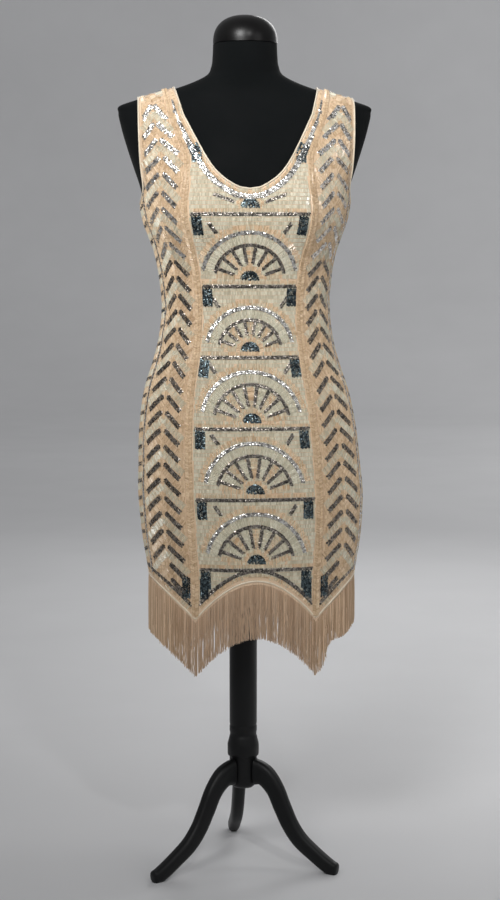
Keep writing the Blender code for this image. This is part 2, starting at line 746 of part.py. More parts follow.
def make_leg(name, bearing, stretch):
    """One curved leg with rounded edges, cut level where its foot stands on the floor.

    stretch lengthens or shortens its reach beyond the post.
    """
    steps, sides = 16, 10
    stations = np.array([leg_curve(i / steps) for i in range(steps + 1)])
    stations[:, 0] = LEG[0].reach + (stations[:, 0] - LEG[0].reach) * stretch
    along = np.gradient(stations[:, :2], axis=0)
    along /= np.linalg.norm(along, axis=1)[:, None]
    along[0] = (1, 0)
    outward_way = np.array([math.sin(bearing), -math.cos(bearing), 0])
    sideways = np.array([math.cos(bearing), math.sin(bearing), 0])
    vertices, faces = [], []
    for (reach, z, tall, wide), (run, rise) in zip(stations, along):
        up = np.array([-rise, run])
        for k in range(sides):
            angle = 2 * math.pi * (k + 0.5) / sides
            c, s = math.cos(angle), math.sin(angle)
            across = wide * math.copysign(abs(c) ** LEG_SQUARENESS, c)
            raised = tall * math.copysign(abs(s) ** LEG_SQUARENESS, s)
            flat = np.array([reach, z]) + up * raised
            level = flat[1] if flat[1] > FOOT_FLAT else 0.0
            vertices.append(outward_way * flat[0] + sideways * across + np.array([POST_X, AXIS_Y, level]))
    skin_rings(faces, steps + 1, sides)
    return mesh_object(name, vertices, faces, "wood")


def make_stand():
    """The flange under the torso, the turned post and three legs."""
    top = FORM_BOTTOM_Z - SEAM_GAP
    low = top - FLANGE_DEPTH
    flange = [(FLANGE_RADIUS - FLANGE_EDGE, low), (FLANGE_RADIUS, low + FLANGE_EDGE), (FLANGE_RADIUS, top)]
    turned("post_flange", flange, "wood", around=32)
    turned("post", POST, "wood")
    for number, (bearing, stretch) in enumerate(LEG_SPLAY, start=1):
        make_leg(f"leg_{number}", math.radians(bearing), stretch)


def make_dress():
    """The two panels with their bindings, piping, raised ribs and fringe."""
    panels = {}
    for name, side in (("dress_front", -1), ("dress_back", 1)):
        panels[side] = make_panel(name, side)
    make_loop_binding("neck_binding", "neck", panels, (-1, 0, 0))
    make_loop_binding("armhole_binding_left", "arm", panels, (-1, 0, 0), hand=-1)
    make_loop_binding("armhole_binding_right", "arm", panels, (1, 0, 0), hand=1)
    for word, side in (("front", -1), ("back", 1)):
        make_hem_piping(f"hem_piping_{word}", side, panels)
        make_fringe(f"fringe_{word}", side, panels)
        make_rib(f"rib_{word}_left", -1, panels[side])
        make_rib(f"rib_{word}_right", 1, panels[side])


def main():
    """Builds every piece."""
    clear_scene()
    make_form()
    make_neck_cap()
    make_stand()
    make_dress()


main()
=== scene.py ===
"""The looks of a beaded flapper dress on a black dress form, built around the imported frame.

Lengths are metres, +Z is up and the dress's front faces -Y. One table of body sections gives the inside
of the cloth, as in the frame. Everything on the dress is placed by a share of the quarter girth (0 at the
middle of the front or back, 1 at the side seam) and a height.
"""

import logging
import math
from collections.abc import Callable
from dataclasses import dataclass, field
from enum import Enum

import bmesh
import bpy
import numpy as np
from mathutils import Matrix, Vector


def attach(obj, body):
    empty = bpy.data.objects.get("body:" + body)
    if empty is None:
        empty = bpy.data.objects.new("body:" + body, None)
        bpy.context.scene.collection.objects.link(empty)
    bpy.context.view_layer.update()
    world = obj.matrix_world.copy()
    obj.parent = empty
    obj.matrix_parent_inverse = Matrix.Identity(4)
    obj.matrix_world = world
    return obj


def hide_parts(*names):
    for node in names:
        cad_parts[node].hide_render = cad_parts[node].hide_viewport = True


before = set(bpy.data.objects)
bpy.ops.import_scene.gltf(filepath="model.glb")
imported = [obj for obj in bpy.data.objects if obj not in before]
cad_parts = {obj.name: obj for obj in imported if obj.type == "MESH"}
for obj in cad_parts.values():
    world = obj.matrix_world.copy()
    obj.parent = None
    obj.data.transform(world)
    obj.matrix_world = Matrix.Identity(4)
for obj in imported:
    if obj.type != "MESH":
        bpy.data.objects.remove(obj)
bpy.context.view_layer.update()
BODY_NAME = "root"
Pair = tuple[float, float]
Triple = tuple[float, float, float]
Colour = Triple
Line = tuple[Pair, ...]
Tree = bpy.types.NodeTree
Node = bpy.types.Node
Piece = bpy.types.Object
log = logging.getLogger("flapper_dress")


class Side(Enum):
    """The two halves of the dress."""

    FRONT = -1
    BACK = 1

    @property
    def word(self) -> str:
        """The half's name, as the frame's nodes spell it."""
        return self.name.lower()


class Bead(Enum):
    """The kinds of beadwork, each a finish of its own."""

    PEACH = "peach_bugles"
    CREAM = "cream_bugles"
    SILVER = "silver_sequins"
    GUNMETAL = "gunmetal_sequins"
    DARK = "dark_sequins"


@dataclass(frozen=True)
class Section:
    """One level of the body: half width, depths in front and behind, sideways hang, and the form's ease."""

    z: float
    half: float
    front: float
    back: float
    hang: float
    ease: float


@dataclass(frozen=True)
class EdgePoint:
    """A point of a neckline or armhole: how far from the middle at a height."""

    x: float
    z: float


BODY = (
    Section(0.3000, 0.1548, 0.1030, 0.1130, 0.0100, 0.0180),
    Section(0.4200, 0.1563, 0.1030, 0.1140, 0.0100, 0.0180),
    Section(0.4566, 0.1568, 0.1030, 0.1150, 0.0100, 0.0180),
    Section(0.4786, 0.1594, 0.1040, 0.1160, 0.0100, 0.0180),
    Section(0.5100, 0.1645, 0.1050, 0.1170, 0.0098, 0.0175),
    Section(0.5487, 0.1684, 0.1060, 0.1180, 0.0092, 0.0165),
    Section(0.5907, 0.1698, 0.1070, 0.1180, 0.0080, 0.0150),
    Section(0.6300, 0.1671, 0.1070, 0.1160, 0.0062, 0.0130),
    Section(0.6617, 0.1654, 0.1060, 0.1140, 0.0046, 0.0110),
    Section(0.6928, 0.1618, 0.1040, 0.1110, 0.0034, 0.0095),
    Section(0.7234, 0.1572, 0.1010, 0.1060, 0.0024, 0.0085),
    Section(0.7497, 0.1508, 0.0980, 0.1010, 0.0015, 0.0075),
    Section(0.7786, 0.1410, 0.0950, 0.0950, 0.0012, 0.0070),
    Section(0.8075, 0.1329, 0.0920, 0.0900, 0.0012, 0.0065),
    Section(0.8400, 0.1272, 0.0903, 0.0862, 0.0012, 0.0060),
    Section(0.8750, 0.1256, 0.0905, 0.0850, 0.0010, 0.0060),
    Section(0.9020, 0.1276, 0.0930, 0.0850, 0.0006, 0.0055),
    Section(0.9250, 0.1306, 0.0970, 0.0860, 0.0002, 0.0050),
    Section(0.9520, 0.1367, 0.1030, 0.0880, 0.0000, 0.0045),
    Section(0.9736, 0.1448, 0.1080, 0.0895, 0.0000, 0.0040),
    Section(0.9930, 0.1518, 0.1110, 0.0900, 0.0000, 0.0034),
    Section(1.0155, 0.1567, 0.1110, 0.0900, 0.0000, 0.0028),
    Section(1.0430, 0.1604, 0.1080, 0.0890, 0.0000, 0.0022),
    Section(1.0757, 0.1702, 0.1000, 0.0865, 0.0000, 0.0015),
    Section(1.1015, 0.1784, 0.0915, 0.0830, 0.0000, 0.0012),
    Section(1.1387, 0.1888, 0.0745, 0.0745, 0.0000, 0.0010),
    Section(1.1580, 0.1925, 0.0640, 0.0690, 0.0000, 0.0012),
    Section(1.1687, 0.1905, 0.0570, 0.0650, 0.0000, 0.0012),
    Section(1.1770, 0.1670, 0.0520, 0.0620, 0.0000, 0.0008),
    Section(1.1850, 0.1400, 0.0495, 0.0600, 0.0000, 0.0008),
    Section(1.1930, 0.1120, 0.0485, 0.0580, 0.0000, 0.0008),
    Section(1.2046, 0.0790, 0.0490, 0.0560, 0.0000, 0.0008),
    Section(1.2150, 0.0590, 0.0505, 0.0530, 0.0000, 0.0008),
    Section(1.2280, 0.0520, 0.0530, 0.0500, 0.0000, 0.0008),
    Section(1.2430, 0.0500, 0.0550, 0.0470, 0.0000, 0.0008),
    Section(1.2600, 0.0492, 0.0560, 0.0440, 0.0000, 0.0008),
)
NECKLINES = {
    Side.FRONT: (
        EdgePoint(0.000, 1.0400), EdgePoint(0.016, 1.0422), EdgePoint(0.029, 1.0492),
        EdgePoint(0.041, 1.0575), EdgePoint(0.050, 1.0665), EdgePoint(0.058, 1.0770),
        EdgePoint(0.067, 1.0920), EdgePoint(0.078, 1.1130), EdgePoint(0.087, 1.1310),
        EdgePoint(0.097, 1.1510), EdgePoint(0.111, 1.2000),
    ),
    Side.BACK: (
        EdgePoint(0.000, 1.0800), EdgePoint(0.020, 1.0830), EdgePoint(0.038, 1.0910),
        EdgePoint(0.052, 1.1010), EdgePoint(0.066, 1.1150), EdgePoint(0.080, 1.1320),
        EdgePoint(0.094, 1.1520), EdgePoint(0.104, 1.1700), EdgePoint(0.111, 1.2000),
    ),
}
NECK_CORNER = {Side.FRONT: EdgePoint(0.067, 1.0920), Side.BACK: EdgePoint(0.066, 1.1150)}
ARM_LINE = (
    EdgePoint(0.1510, 1.0430), EdgePoint(0.1560, 1.0700), EdgePoint(0.1580, 1.1000),
    EdgePoint(0.1592, 1.1400), EdgePoint(0.1600, 1.2000),
)
SQUARENESS = 2.2
AXIS_Y = -0.027
POST_X = -0.003
BUST_X, BUST_Z, BUST_SWELL, BUST_WIDE, BUST_TALL = 0.078, 0.998, 0.013, 0.042, 0.050
HEM_ARCH_Z, HEM_DROP, HEM_POINT, HEM_CURVE = 0.461, 0.0600, 0.44, 0.9
HEM_TIP_Z = HEM_ARCH_Z - HEM_DROP
NECK_EDGE, ARM_EDGE = 0.305, 0.82
ARM_SIDE_Z, ARM_CORNER_Z, ARM_CURVE, CHEST_Z = 1.020, 1.043, 2.2, 1.015
STRAP_FOOT_RISE = 0.0185
SHOULDER_SEARCH = (1.160, 1.260)
CLOTH_LIFT = 0.0008
CLOTH_WALL = 0.0008
BEAD_BASE = CLOTH_LIFT + CLOTH_WALL
SEAM_GAP = 0.0003
MEAN_QUARTER = 0.205
HANDS = (-1, 1)


@dataclass(frozen=True)
class Crease:
    """A soft trough or swell of the hanging cloth between two (share, height) places."""

    side: Side
    start: Pair
    end: Pair
    width: float
    rise: float


CREASES = (
    Crease(Side.FRONT, (-0.93, 0.990), (-0.62, 0.925), 0.010, -0.0013),
    Crease(Side.FRONT, (0.92, 0.980), (0.60, 0.910), 0.011, -0.0014),
    Crease(Side.FRONT, (0.95, 0.885), (0.66, 0.868), 0.008, -0.0013),
    Crease(Side.FRONT, (-0.96, 0.868), (-0.70, 0.862), 0.008, -0.0012),
    Crease(Side.FRONT, (-0.97, 0.838), (-0.74, 0.822), 0.009, 0.0010),
    Crease(Side.FRONT, (-0.60, 0.735), (-0.66, 0.520), 0.017, -0.0022),
    Crease(Side.FRONT, (0.63, 0.700), (0.58, 0.500), 0.018, -0.0020),
    Crease(Side.FRONT, (0.12, 0.640), (0.20, 0.500), 0.020, -0.0014),
    Crease(Side.FRONT, (-0.24, 0.600), (-0.20, 0.500), 0.020, 0.0013),
    Crease(Side.FRONT, (0.86, 0.690), (0.84, 0.500), 0.016, 0.0016),
    Crease(Side.BACK, (-0.90, 0.960), (-0.45, 0.905), 0.013, -0.0016),
    Crease(Side.BACK, (0.88, 0.965), (0.48, 0.900), 0.012, -0.0015),
    Crease(Side.BACK, (-0.34, 0.872), (0.36, 0.866), 0.010, -0.0018),
    Crease(Side.BACK, (-0.28, 0.842), (0.30, 0.838), 0.011, 0.0012),
    Crease(Side.BACK, (-0.62, 0.720), (-0.56, 0.500), 0.018, -0.0020),
    Crease(Side.BACK, (0.56, 0.700), (0.64, 0.490), 0.018, -0.0022),
    Crease(Side.BACK, (0.02, 0.640), (-0.04, 0.490), 0.022, -0.0016),
)


def linear(red: int, green: int, blue: int) -> Colour:
    """A display colour as linear light.

    Args:
        red: the red value, 0 to 255.
        green: the green value, 0 to 255.
        blue: the blue value, 0 to 255.

    Returns:
        The colour in linear light.
    """
    def one(value: int) -> float:
        """One channel in linear light."""
        share = value / 255
        return share / 12.92 if share <= 0.04045 else ((share + 0.055) / 1.055) ** 2.4

    return one(red), one(green), one(blue)


def smooth(t: np.ndarray) -> np.ndarray:
    """A soft step from 0 at t = 0 to 1 at t = 1."""
    t = np.clip(t, 0, 1)
    return t * t * (3 - 2 * t)


def unit(rows: np.ndarray) -> np.ndarray:
    """Each row as a direction of length 1."""
    return rows / np.maximum(np.linalg.norm(rows, axis=-1, keepdims=True), 1e-12)


def running(steps: np.ndarray) -> np.ndarray:
    """The distance covered before the first step and after each one."""
    return np.concatenate([[0], np.cumsum(steps)])


def path_run(path: np.ndarray) -> np.ndarray:
    """How far along a path each of its points lies."""
    return running(np.linalg.norm(np.diff(path, axis=0), axis=1))


def squared(wave: np.ndarray, power: float) -> np.ndarray:
    """A sine or cosine bent towards that of a squarer ring, with its sign kept."""
    return np.copysign(np.abs(wave) ** power, wave)


def hem_shares(beside: int, between: int) -> np.ndarray:
    """Shares along the hem from seam to seam, with the hem's two points among them."""
    left, right = np.linspace(-1, -HEM_POINT, beside), np.linspace(HEM_POINT, 1, beside)
    return np.concatenate([left, np.linspace(-HEM_POINT, HEM_POINT, between)[1:], right[1:]])


def stop_at_seam(points: np.ndarray, side: Side) -> None:
    """Brings points that reach past the side seam back to it."""
    limit = AXIS_Y + side.value * SEAM_GAP / 2
    depth = points[..., 1]
    points[..., 1] = np.where(side.value * (depth - limit) < 0, limit, depth)


class Skin:
    """The inside surface of the cloth, as functions of a place on it. Every method takes arrays."""

    TABLE_LEVELS, TABLE_SHARES, RING_STEPS = 481, 101, 161
    SHOULDER_HALF, CREST_STEPS = 0.1925, 400
    SEARCH_STEPS = 30
    SHARE_STEPS = 201
    BUST_FADE = 8
    CREASE_FADE, CREASE_END = 24, 2.2
    PROBE = 2e-5
    HEM_MARGIN, CREST_MARGIN, SEAM_MARGIN = 1.5, 0.2, 0.02

    def __init__(self) -> None:
        """Works out the smooth columns and a table of the girth's shares."""
        self.levels = np.array([row.z for row in BODY])
        names = ("half", "front", "back", "hang", "ease")
        self.values = {name: np.array([getattr(row, name) for row in BODY]) for name in names}
        self.slopes = {name: np.gradient(column, self.levels) for name, column in self.values.items()}
        self.table_z = np.linspace(self.levels[0], self.levels[-1], self.TABLE_LEVELS)
        self.table_c = np.linspace(0, 1, self.TABLE_SHARES)
        self.ratio = {side: self._ratios(side) for side in Side}
        self.crest_x = np.linspace(0, self.SHOULDER_HALF, self.CREST_STEPS)
        self.crest = self._search(self.crest_x.shape, lambda z: self.column("half", z) > self.crest_x)

    def column(self, name: str, z: np.ndarray) -> np.ndarray:
        """One column of the body table, smoothly.

        Args:
            name: half, front, back, hang or ease.
            z: the heights.

        Returns:
            The column's values there.
        """
        levels, values, slopes = self.levels, self.values[name], self.slopes[name]
        z = np.clip(z, levels[0], levels[-1])
        i = np.clip(np.searchsorted(levels, z) - 1, 0, len(levels) - 2)
        step = levels[i + 1] - levels[i]
        t = (z - levels[i]) / step
        ends = values[i] * (1 + 2 * t) * (1 - t) ** 2 + values[i + 1] * t * t * (3 - 2 * t)
        return ends + step * (slopes[i] * t * (1 - t) ** 2 - slopes[i + 1] * t * t * (1 - t))

    def reach(self, z: np.ndarray, side: Side) -> np.ndarray:
        """The depth of the plain ring at its middle."""
        return self.column("front" if side is Side.FRONT else "back", z)

    def swell(self, x: np.ndarray, z: np.ndarray, side: Side) -> np.ndarray:
        """How far the bust stands proud of the plain ring in front."""
        if side is Side.BACK:
            return np.zeros(np.broadcast(x, z).shape)
        across = np.exp(-(((np.abs(x) - BUST_X) / BUST_WIDE) ** 2))
        seam = 1 - np.clip(np.abs(x) / self.column("half", z), 0, 1) ** self.BUST_FADE
        return BUST_SWELL * seam * across * np.exp(-(((z - BUST_Z) / BUST_TALL) ** 2))

    def depth(self, x: np.ndarray, z: np.ndarray, side: Side) -> np.ndarray:
        """How far the body reaches before or behind its axis at x and z."""
        share = np.clip(np.abs(x) / self.column("half", z), 0, 1)
        return self.reach(z, side) * (1 - share**SQUARENESS) ** (1 / SQUARENESS) + self.swell(x, z, side)

    def _ratios(self, side: Side) -> np.ndarray:
        """The x of each share of the quarter girth, over the half width, for each level of the table."""
        angle = np.linspace(0, math.pi / 2, self.RING_STEPS)
        rows = []
        for z in self.table_z:
            half = self.column("half", z)
            x = half * np.sin(angle) ** (2 / SQUARENESS)
            y = self.depth(x, np.full_like(x, z), side)
            run = running(np.hypot(np.diff(x), np.diff(y)))
            rows.append(np.interp(self.table_c * run[-1], run, x) / half)
        return np.array(rows)

    def ring_x(self, c: np.ndarray, z: np.ndarray, side: Side) -> np.ndarray:
        """The x at a share c of the quarter girth, c from 0 to 1."""
        rows = self.ratio[side]
        step = self.table_z[1] - self.table_z[0]
        zi = np.clip((z - self.table_z[0]) / step, 0, len(rows) - 1.001)
        ci = np.clip(c * (len(self.table_c) - 1), 0, len(self.table_c) - 1.001)
        i, j = zi.astype(int), ci.astype(int)
        u, v = zi - i, ci - j
        low = rows[i, j] * (1 - v) + rows[i, j + 1] * v
        high = rows[i + 1, j] * (1 - v) + rows[i + 1, j + 1] * v
        return (low * (1 - u) + high * u) * self.column("half", z)

    def neck_x(self, z: np.ndarray, side: Side) -> np.ndarray:
        """The half width of the neck opening at height z."""
        line = NECKLINES[side]
        return np.interp(z, [p.z for p in line], [p.x for p in line])

    def neck_z(self, x: np.ndarray, side: Side) -> np.ndarray:
        """The height of the neckline at x."""
        line = NECKLINES[side]
        return np.interp(np.abs(x), [p.x for p in line], [p.z for p in line])

    def neckline(self, side: Side, count: int) -> tuple[np.ndarray, np.ndarray]:
        """Even places along half a neckline from its middle, as x and z."""
        x, z = (np.array([getattr(p, axis) for p in NECKLINES[side]]) for axis in "xz")
        run = running(np.hypot(np.diff(x), np.diff(z)))
        even = np.linspace(0, run[-1], count)
        return np.interp(even, run, x), np.interp(even, run, z)

    def arm_x(self, z: np.ndarray) -> np.ndarray:
        """The x of the armhole's edge at height z."""
        return np.interp(z, [p.z for p in ARM_LINE], [p.x for p in ARM_LINE])

    def strap_x(self, across: np.ndarray, z: np.ndarray, side: Side) -> np.ndarray:
        """The x of a place across the strap, 0 at the neck and 1 at the armhole."""
        inner = self.neck_x(z, side)
        return inner + (self.arm_x(z) - inner) * across

    def chart_x(self, c: np.ndarray, z: np.ndarray, side: Side) -> np.ndarray:
        """The x of a place on the cloth. Shares follow the girth on the body and run across the strap above.

        Args:
            c: signed shares of the quarter girth.
            z: heights.
            side: front or back.

        Returns:
            x, from the middle of the body.
        """
        a = np.abs(c)
        corner = NECK_CORNER[side].z
        inner = self.neck_x(np.maximum(z, corner), side)
        outer = self.arm_x(z)
        half = self.column("half", z)
        rise = smooth((z - CHEST_Z) / (corner - CHEST_Z))
        strap = inner + (outer - inner) * (a - NECK_EDGE) / (ARM_EDGE - NECK_EDGE)
        past = outer + (half - outer) * (a - ARM_EDGE) / (1 - ARM_EDGE)
        strap = np.where(a > ARM_EDGE, past, strap)
        ring = self.ring_x(a, z, side)
        at_edge = self.ring_x(np.full_like(a, NECK_EDGE), z, side)
        inside = ring * (1 - rise + rise * inner / at_edge)
        x = np.where(a < NECK_EDGE, inside, ring * (1 - rise) + strap * rise)
        return np.copysign(np.minimum(x, half), c)

    def share_at(self, x: np.ndarray, z: np.ndarray, side: Side) -> np.ndarray:
        """The shares of places given by x, counted from the middle, and height."""
        shares = np.linspace(0, 1, self.SHARE_STEPS)
        level = np.ones_like(shares)
        return np.array([np.interp(a, self.chart_x(shares, b * level, side), shares) for a, b in zip(x, z)])

    def hem_z(self, c: np.ndarray) -> np.ndarray:
        """Height of the hem: arches, flat at the middles and side seams, that fall to four points."""
        a = np.abs(c)
        away = np.clip(np.minimum(a / HEM_POINT, (1 - a) / (1 - HEM_POINT)), 0, 1)
        return HEM_ARCH_Z - HEM_DROP * (1 - np.maximum(np.cos(away * math.pi / 2), 0) ** HEM_CURVE)

    def under_arm_z(self, c: np.ndarray) -> np.ndarray:
        """Height of the armhole's lower edge at shares beyond the strap."""
        t = np.clip((1 - np.abs(c)) / (1 - ARM_EDGE), 0, 1)
        return ARM_SIDE_Z + (ARM_CORNER_Z - ARM_SIDE_Z) * t**ARM_CURVE

    def _search(self, shape: tuple[int, ...], holds: Callable[[np.ndarray], np.ndarray]) -> np.ndarray:
        """The greatest heights on the shoulder at which a test holds.

        Args:
            shape: the shape of the result.
            holds: takes heights and tells at which of them the test holds.

        Returns:
            The heights.
        """
        low, high = np.full(shape, SHOULDER_SEARCH[0]), np.full(shape, SHOULDER_SEARCH[1])
        for _ in range(self.SEARCH_STEPS):
            middle = (low + high) / 2
            passed = holds(middle)
            low, high = np.where(passed, middle, low), np.where(passed, high, middle)
        return low

    def crest_z(self, x: np.ndarray) -> np.ndarray:
        """Height of the top of the shoulder at x."""
        return np.interp(np.abs(x), self.crest_x, self.crest)

    def strap_top(self, across: np.ndarray, side: Side) -> np.ndarray:
        """Height of the shoulder seam at places across the strap."""
        def wider(z: np.ndarray) -> np.ndarray:
            """Where the body is still wider than the strap's place."""
            return self.column("half", z) > self.strap_x(across, z, side)

        return self._search(np.shape(across), wider)

    def relief(self, c: np.ndarray, z: np.ndarray, side: Side) -> np.ndarray:
        """How far the creases lift the cloth at a place; they die away at the side seam."""
        total = np.zeros(np.broadcast(c, z).shape)
        for crease in CREASES:
            if crease.side is not side:
                continue
            (c0, z0), (c1, z1) = crease.start, crease.end
            run = np.array([(c1 - c0) * MEAN_QUARTER, z1 - z0])
            length = float(np.hypot(*run))
            off = np.stack([(c - c0) * MEAN_QUARTER, z - z0], axis=-1)
            along = off @ run / length
            across = (off[..., 0] * run[1] - off[..., 1] * run[0]) / length
            past = np.maximum(np.maximum(-along, along - length), 0)
            fade = np.exp(-((past / (self.CREASE_END * crease.width)) ** 2))
            total += crease.rise * fade * np.exp(-((across / crease.width) ** 2))
        return total * (1 - np.clip(np.abs(c), 0, 1) ** self.CREASE_FADE)

    def at(self, x: np.ndarray, z: np.ndarray, side: Side) -> np.ndarray:
        """Points of the skin at x and z, as rows of three numbers."""
        y = side.value * self.depth(x, z, side) + AXIS_Y
        return np.stack([x + self.column("hang", z), y, z], axis=-1)

    def _measure(self, p: np.ndarray, side: Side) -> np.ndarray:
        """1 on the skin, more outside it and less inside it."""
        x, y, z = p[..., 0], p[..., 1], p[..., 2]
        off = x - self.column("hang", z)
        depth = np.maximum(np.abs(y - AXIS_Y) - self.swell(off, z, side), 0)
        across = (np.abs(off) / self.column("half", z)) ** SQUARENESS
        return across + (depth / self.reach(z, side)) ** SQUARENESS

    def normal(self, p: np.ndarray, side: Side) -> np.ndarray:
        """The outward directions at points of the skin."""
        steps = self.PROBE * np.eye(3)
        rise = [self._measure(p + step, side) - self._measure(p - step, side) for step in steps]
        return unit(np.stack(rise, axis=-1))

    def place(self, c: np.ndarray, z: np.ndarray, side: Side, lift: float = 0.0,
              x: np.ndarray | None = None) -> tuple[np.ndarray, np.ndarray]:
        """Points at shares and heights, lifted off the creased skin, with their outward directions.

        Args:
            c: signed shares.
            z: heights.
            side: front or back.
            lift: distance off the skin.
            x: places across, where they are known already.

        Returns:
            The points and the outward directions.
        """
        p = self.at(self.chart_x(c, z, side) if x is None else x, z, side)
        n = self.normal(p, side)
        level = unit(np.stack([-n[..., 1], n[..., 0], np.zeros(n.shape[:-1])], axis=-1)) * -side.value
        upward = np.cross(n, level) * -side.value
        tiny = 2e-4
        right = self.relief(c + tiny / MEAN_QUARTER, z, side) - self.relief(c - tiny / MEAN_QUARTER, z, side)
        above = self.relief(c, z + tiny, side) - self.relief(c, z - tiny, side)
        tilted = unit(n - (level * right[..., None] + upward * above[..., None]) / (2 * tiny))
        return p + n * (self.relief(c, z, side)[..., None] + lift), tilted

    def on_cloth(self, c: np.ndarray, z: np.ndarray, side: Side, margin: float) -> np.ndarray:
        """True where a place lies on the cloth, at least a margin inside its edges."""
        x = np.abs(self.chart_x(c, z, side))
        a = np.abs(c)
        above_hem = z > self.hem_z(c) + margin * self.HEM_MARGIN
        under_arm = (a < ARM_EDGE) | (z < self.under_arm_z(c) - margin)
        beside_arm = (x < self.arm_x(z) - margin) | (z < ARM_CORNER_Z)
        below_neck = (z < self.neck_z(x, side) - margin) | (x > self.neck_x(z, side) + margin)
        crest = z < self.crest_z(x) - margin * self.CREST_MARGIN
        seam = (self.column("half", z) - x > margin * self.SEAM_MARGIN) | (a < ARM_EDGE)
        return above_hem & under_arm & beside_arm & below_neck & crest & seam


SKIN = Skin()


@dataclass(frozen=True)
class Finish:
    """A finish whose colour, roughness and fine bump come from noise and threads."""

    name: str
    light: Colour
    dark: Colour
    roughness: float
    metallic: float = 0.0
    coat: float = 0.0
    sheen: float = 0.0
    specular: float = 0.5
    patch: float = 60.0
    thread: float = 900.0
    thread_share: float = 0.3
    stretch: Triple = (1.0, 1.0, 1.0)
    bump: float = 0.3
    bump_depth: float = 0.0003
    rough_spread: float = 0.08
    coat_roughness: float = 0.1
    patch_detail: float = 4.0
    thread_detail: float = 2.0
    ramp_span: Pair = (0.34, 0.66)
    rough_span: Pair = (0.3, 0.7)

    def material(self) -> bpy.types.Material:
        """The finish as a material made of nodes."""
        made = bpy.data.materials.new(self.name)
        made.use_nodes = True
        tree = made.node_tree
        shader = tree.nodes["Principled BSDF"]
        shader.inputs["Metallic"].default_value = self.metallic
        shader.inputs["Coat Weight"].default_value = self.coat
        shader.inputs["Coat Roughness"].default_value = self.coat_roughness
        shader.inputs["Sheen Weight"].default_value = self.sheen
        shader.inputs["Specular IOR Level"].default_value = self.specular
        place = tree.nodes.new("ShaderNodeTexCoord")
        scale = tree.nodes.new("ShaderNodeMapping")
        scale.inputs["Scale"].default_value = self.stretch
        tree.links.new(place.outputs["Object"], scale.inputs["Vector"])
        mottle = self._noise(tree, scale, self.patch, self.patch_detail)
        threads = self._noise(tree, scale, self.thread, self.thread_detail)
        self._colour(tree, shader, mottle, threads)
        self._roughness(tree, shader, mottle)
        self._bump(tree, shader, threads)
        return made

    def _noise(self, tree: Tree, scale: Node, size: float, detail: float) -> Node:
        """A noise texture read through a mapping node."""
        noise = tree.nodes.new("ShaderNodeTexNoise")
        noise.inputs["Scale"].default_value = size
        noise.inputs["Detail"].default_value = detail
        tree.links.new(scale.outputs["Vector"], noise.inputs["Vector"])
        return noise

    def _ramp(self, tree: Tree, low: float, high: float) -> Node:
        """A ramp from the dark to the light colour."""
        ramp = tree.nodes.new("ShaderNodeValToRGB")
        first, last = ramp.color_ramp.elements
        first.position, last.position = low, high
        first.color, last.color = (*self.dark, 1), (*self.light, 1)
        return ramp

    def _colour(self, tree: Tree, shader: Node, mottle: Node, threads: Node) -> None:
        """Mixes mottling and threads into the colour."""
        both = tree.nodes.new("ShaderNodeMix")
        both.inputs["Factor"].default_value = self.thread_share
        tree.links.new(mottle.outputs["Fac"], both.inputs["A"])
        tree.links.new(threads.outputs["Fac"], both.inputs["B"])
        ramp = self._ramp(tree, *self.ramp_span)
        tree.links.new(both.outputs["Result"], ramp.inputs["Fac"])
        tree.links.new(ramp.outputs["Color"], shader.inputs["Base Color"])

    def _roughness(self, tree: Tree, shader: Node, mottle: Node) -> None:
        """Lets the roughness wander a little with the coarse noise."""
        span = tree.nodes.new("ShaderNodeMapRange")
        span.inputs["From Min"].default_value = self.rough_span[0]
        span.inputs["From Max"].default_value = self.rough_span[1]
        span.inputs["To Min"].default_value = self.roughness - self.rough_spread
        span.inputs["To Max"].default_value = self.roughness + self.rough_spread
        tree.links.new(mottle.outputs["Fac"], span.inputs["Value"])
        tree.links.new(span.outputs["Result"], shader.inputs["Roughness"])

    def _bump(self, tree: Tree, shader: Node, threads: Node) -> None:
        """Raises the fine noise as threads or brush marks."""
        bump = tree.nodes.new("ShaderNodeBump")
        bump.inputs["Strength"].default_value = self.bump
        bump.inputs["Distance"].default_value = self.bump_depth
        tree.links.new(threads.outputs["Fac"], bump.inputs["Height"])
        tree.links.new(bump.outputs["Normal"], shader.inputs["Normal"])


@dataclass(frozen=True)
class Loose(Finish):
    """A finish for many small pieces in one mesh: every bead, sequin or thread has a tint of its own."""

    middle: Colour = (0.5, 0.5, 0.5)

    def _colour(self, tree: Tree, shader: Node, mottle: Node, threads: Node) -> None:
        """Gives each small piece a tint between dark, middle and light."""
        shape = tree.nodes.new("ShaderNodeNewGeometry")
        ramp = self._ramp(tree, 0.0, 1.0)
        ramp.color_ramp.elements.new(0.5).color = (*self.middle, 1)
        tree.links.new(shape.outputs["Random Per Island"], ramp.inputs["Fac"])
        tree.links.new(ramp.outputs["Color"], shader.inputs["Base Color"])

    def _bump(self, tree: Tree, shader: Node, threads: Node) -> None:
        """Leaves the facets plain, as the pieces are modelled one by one."""


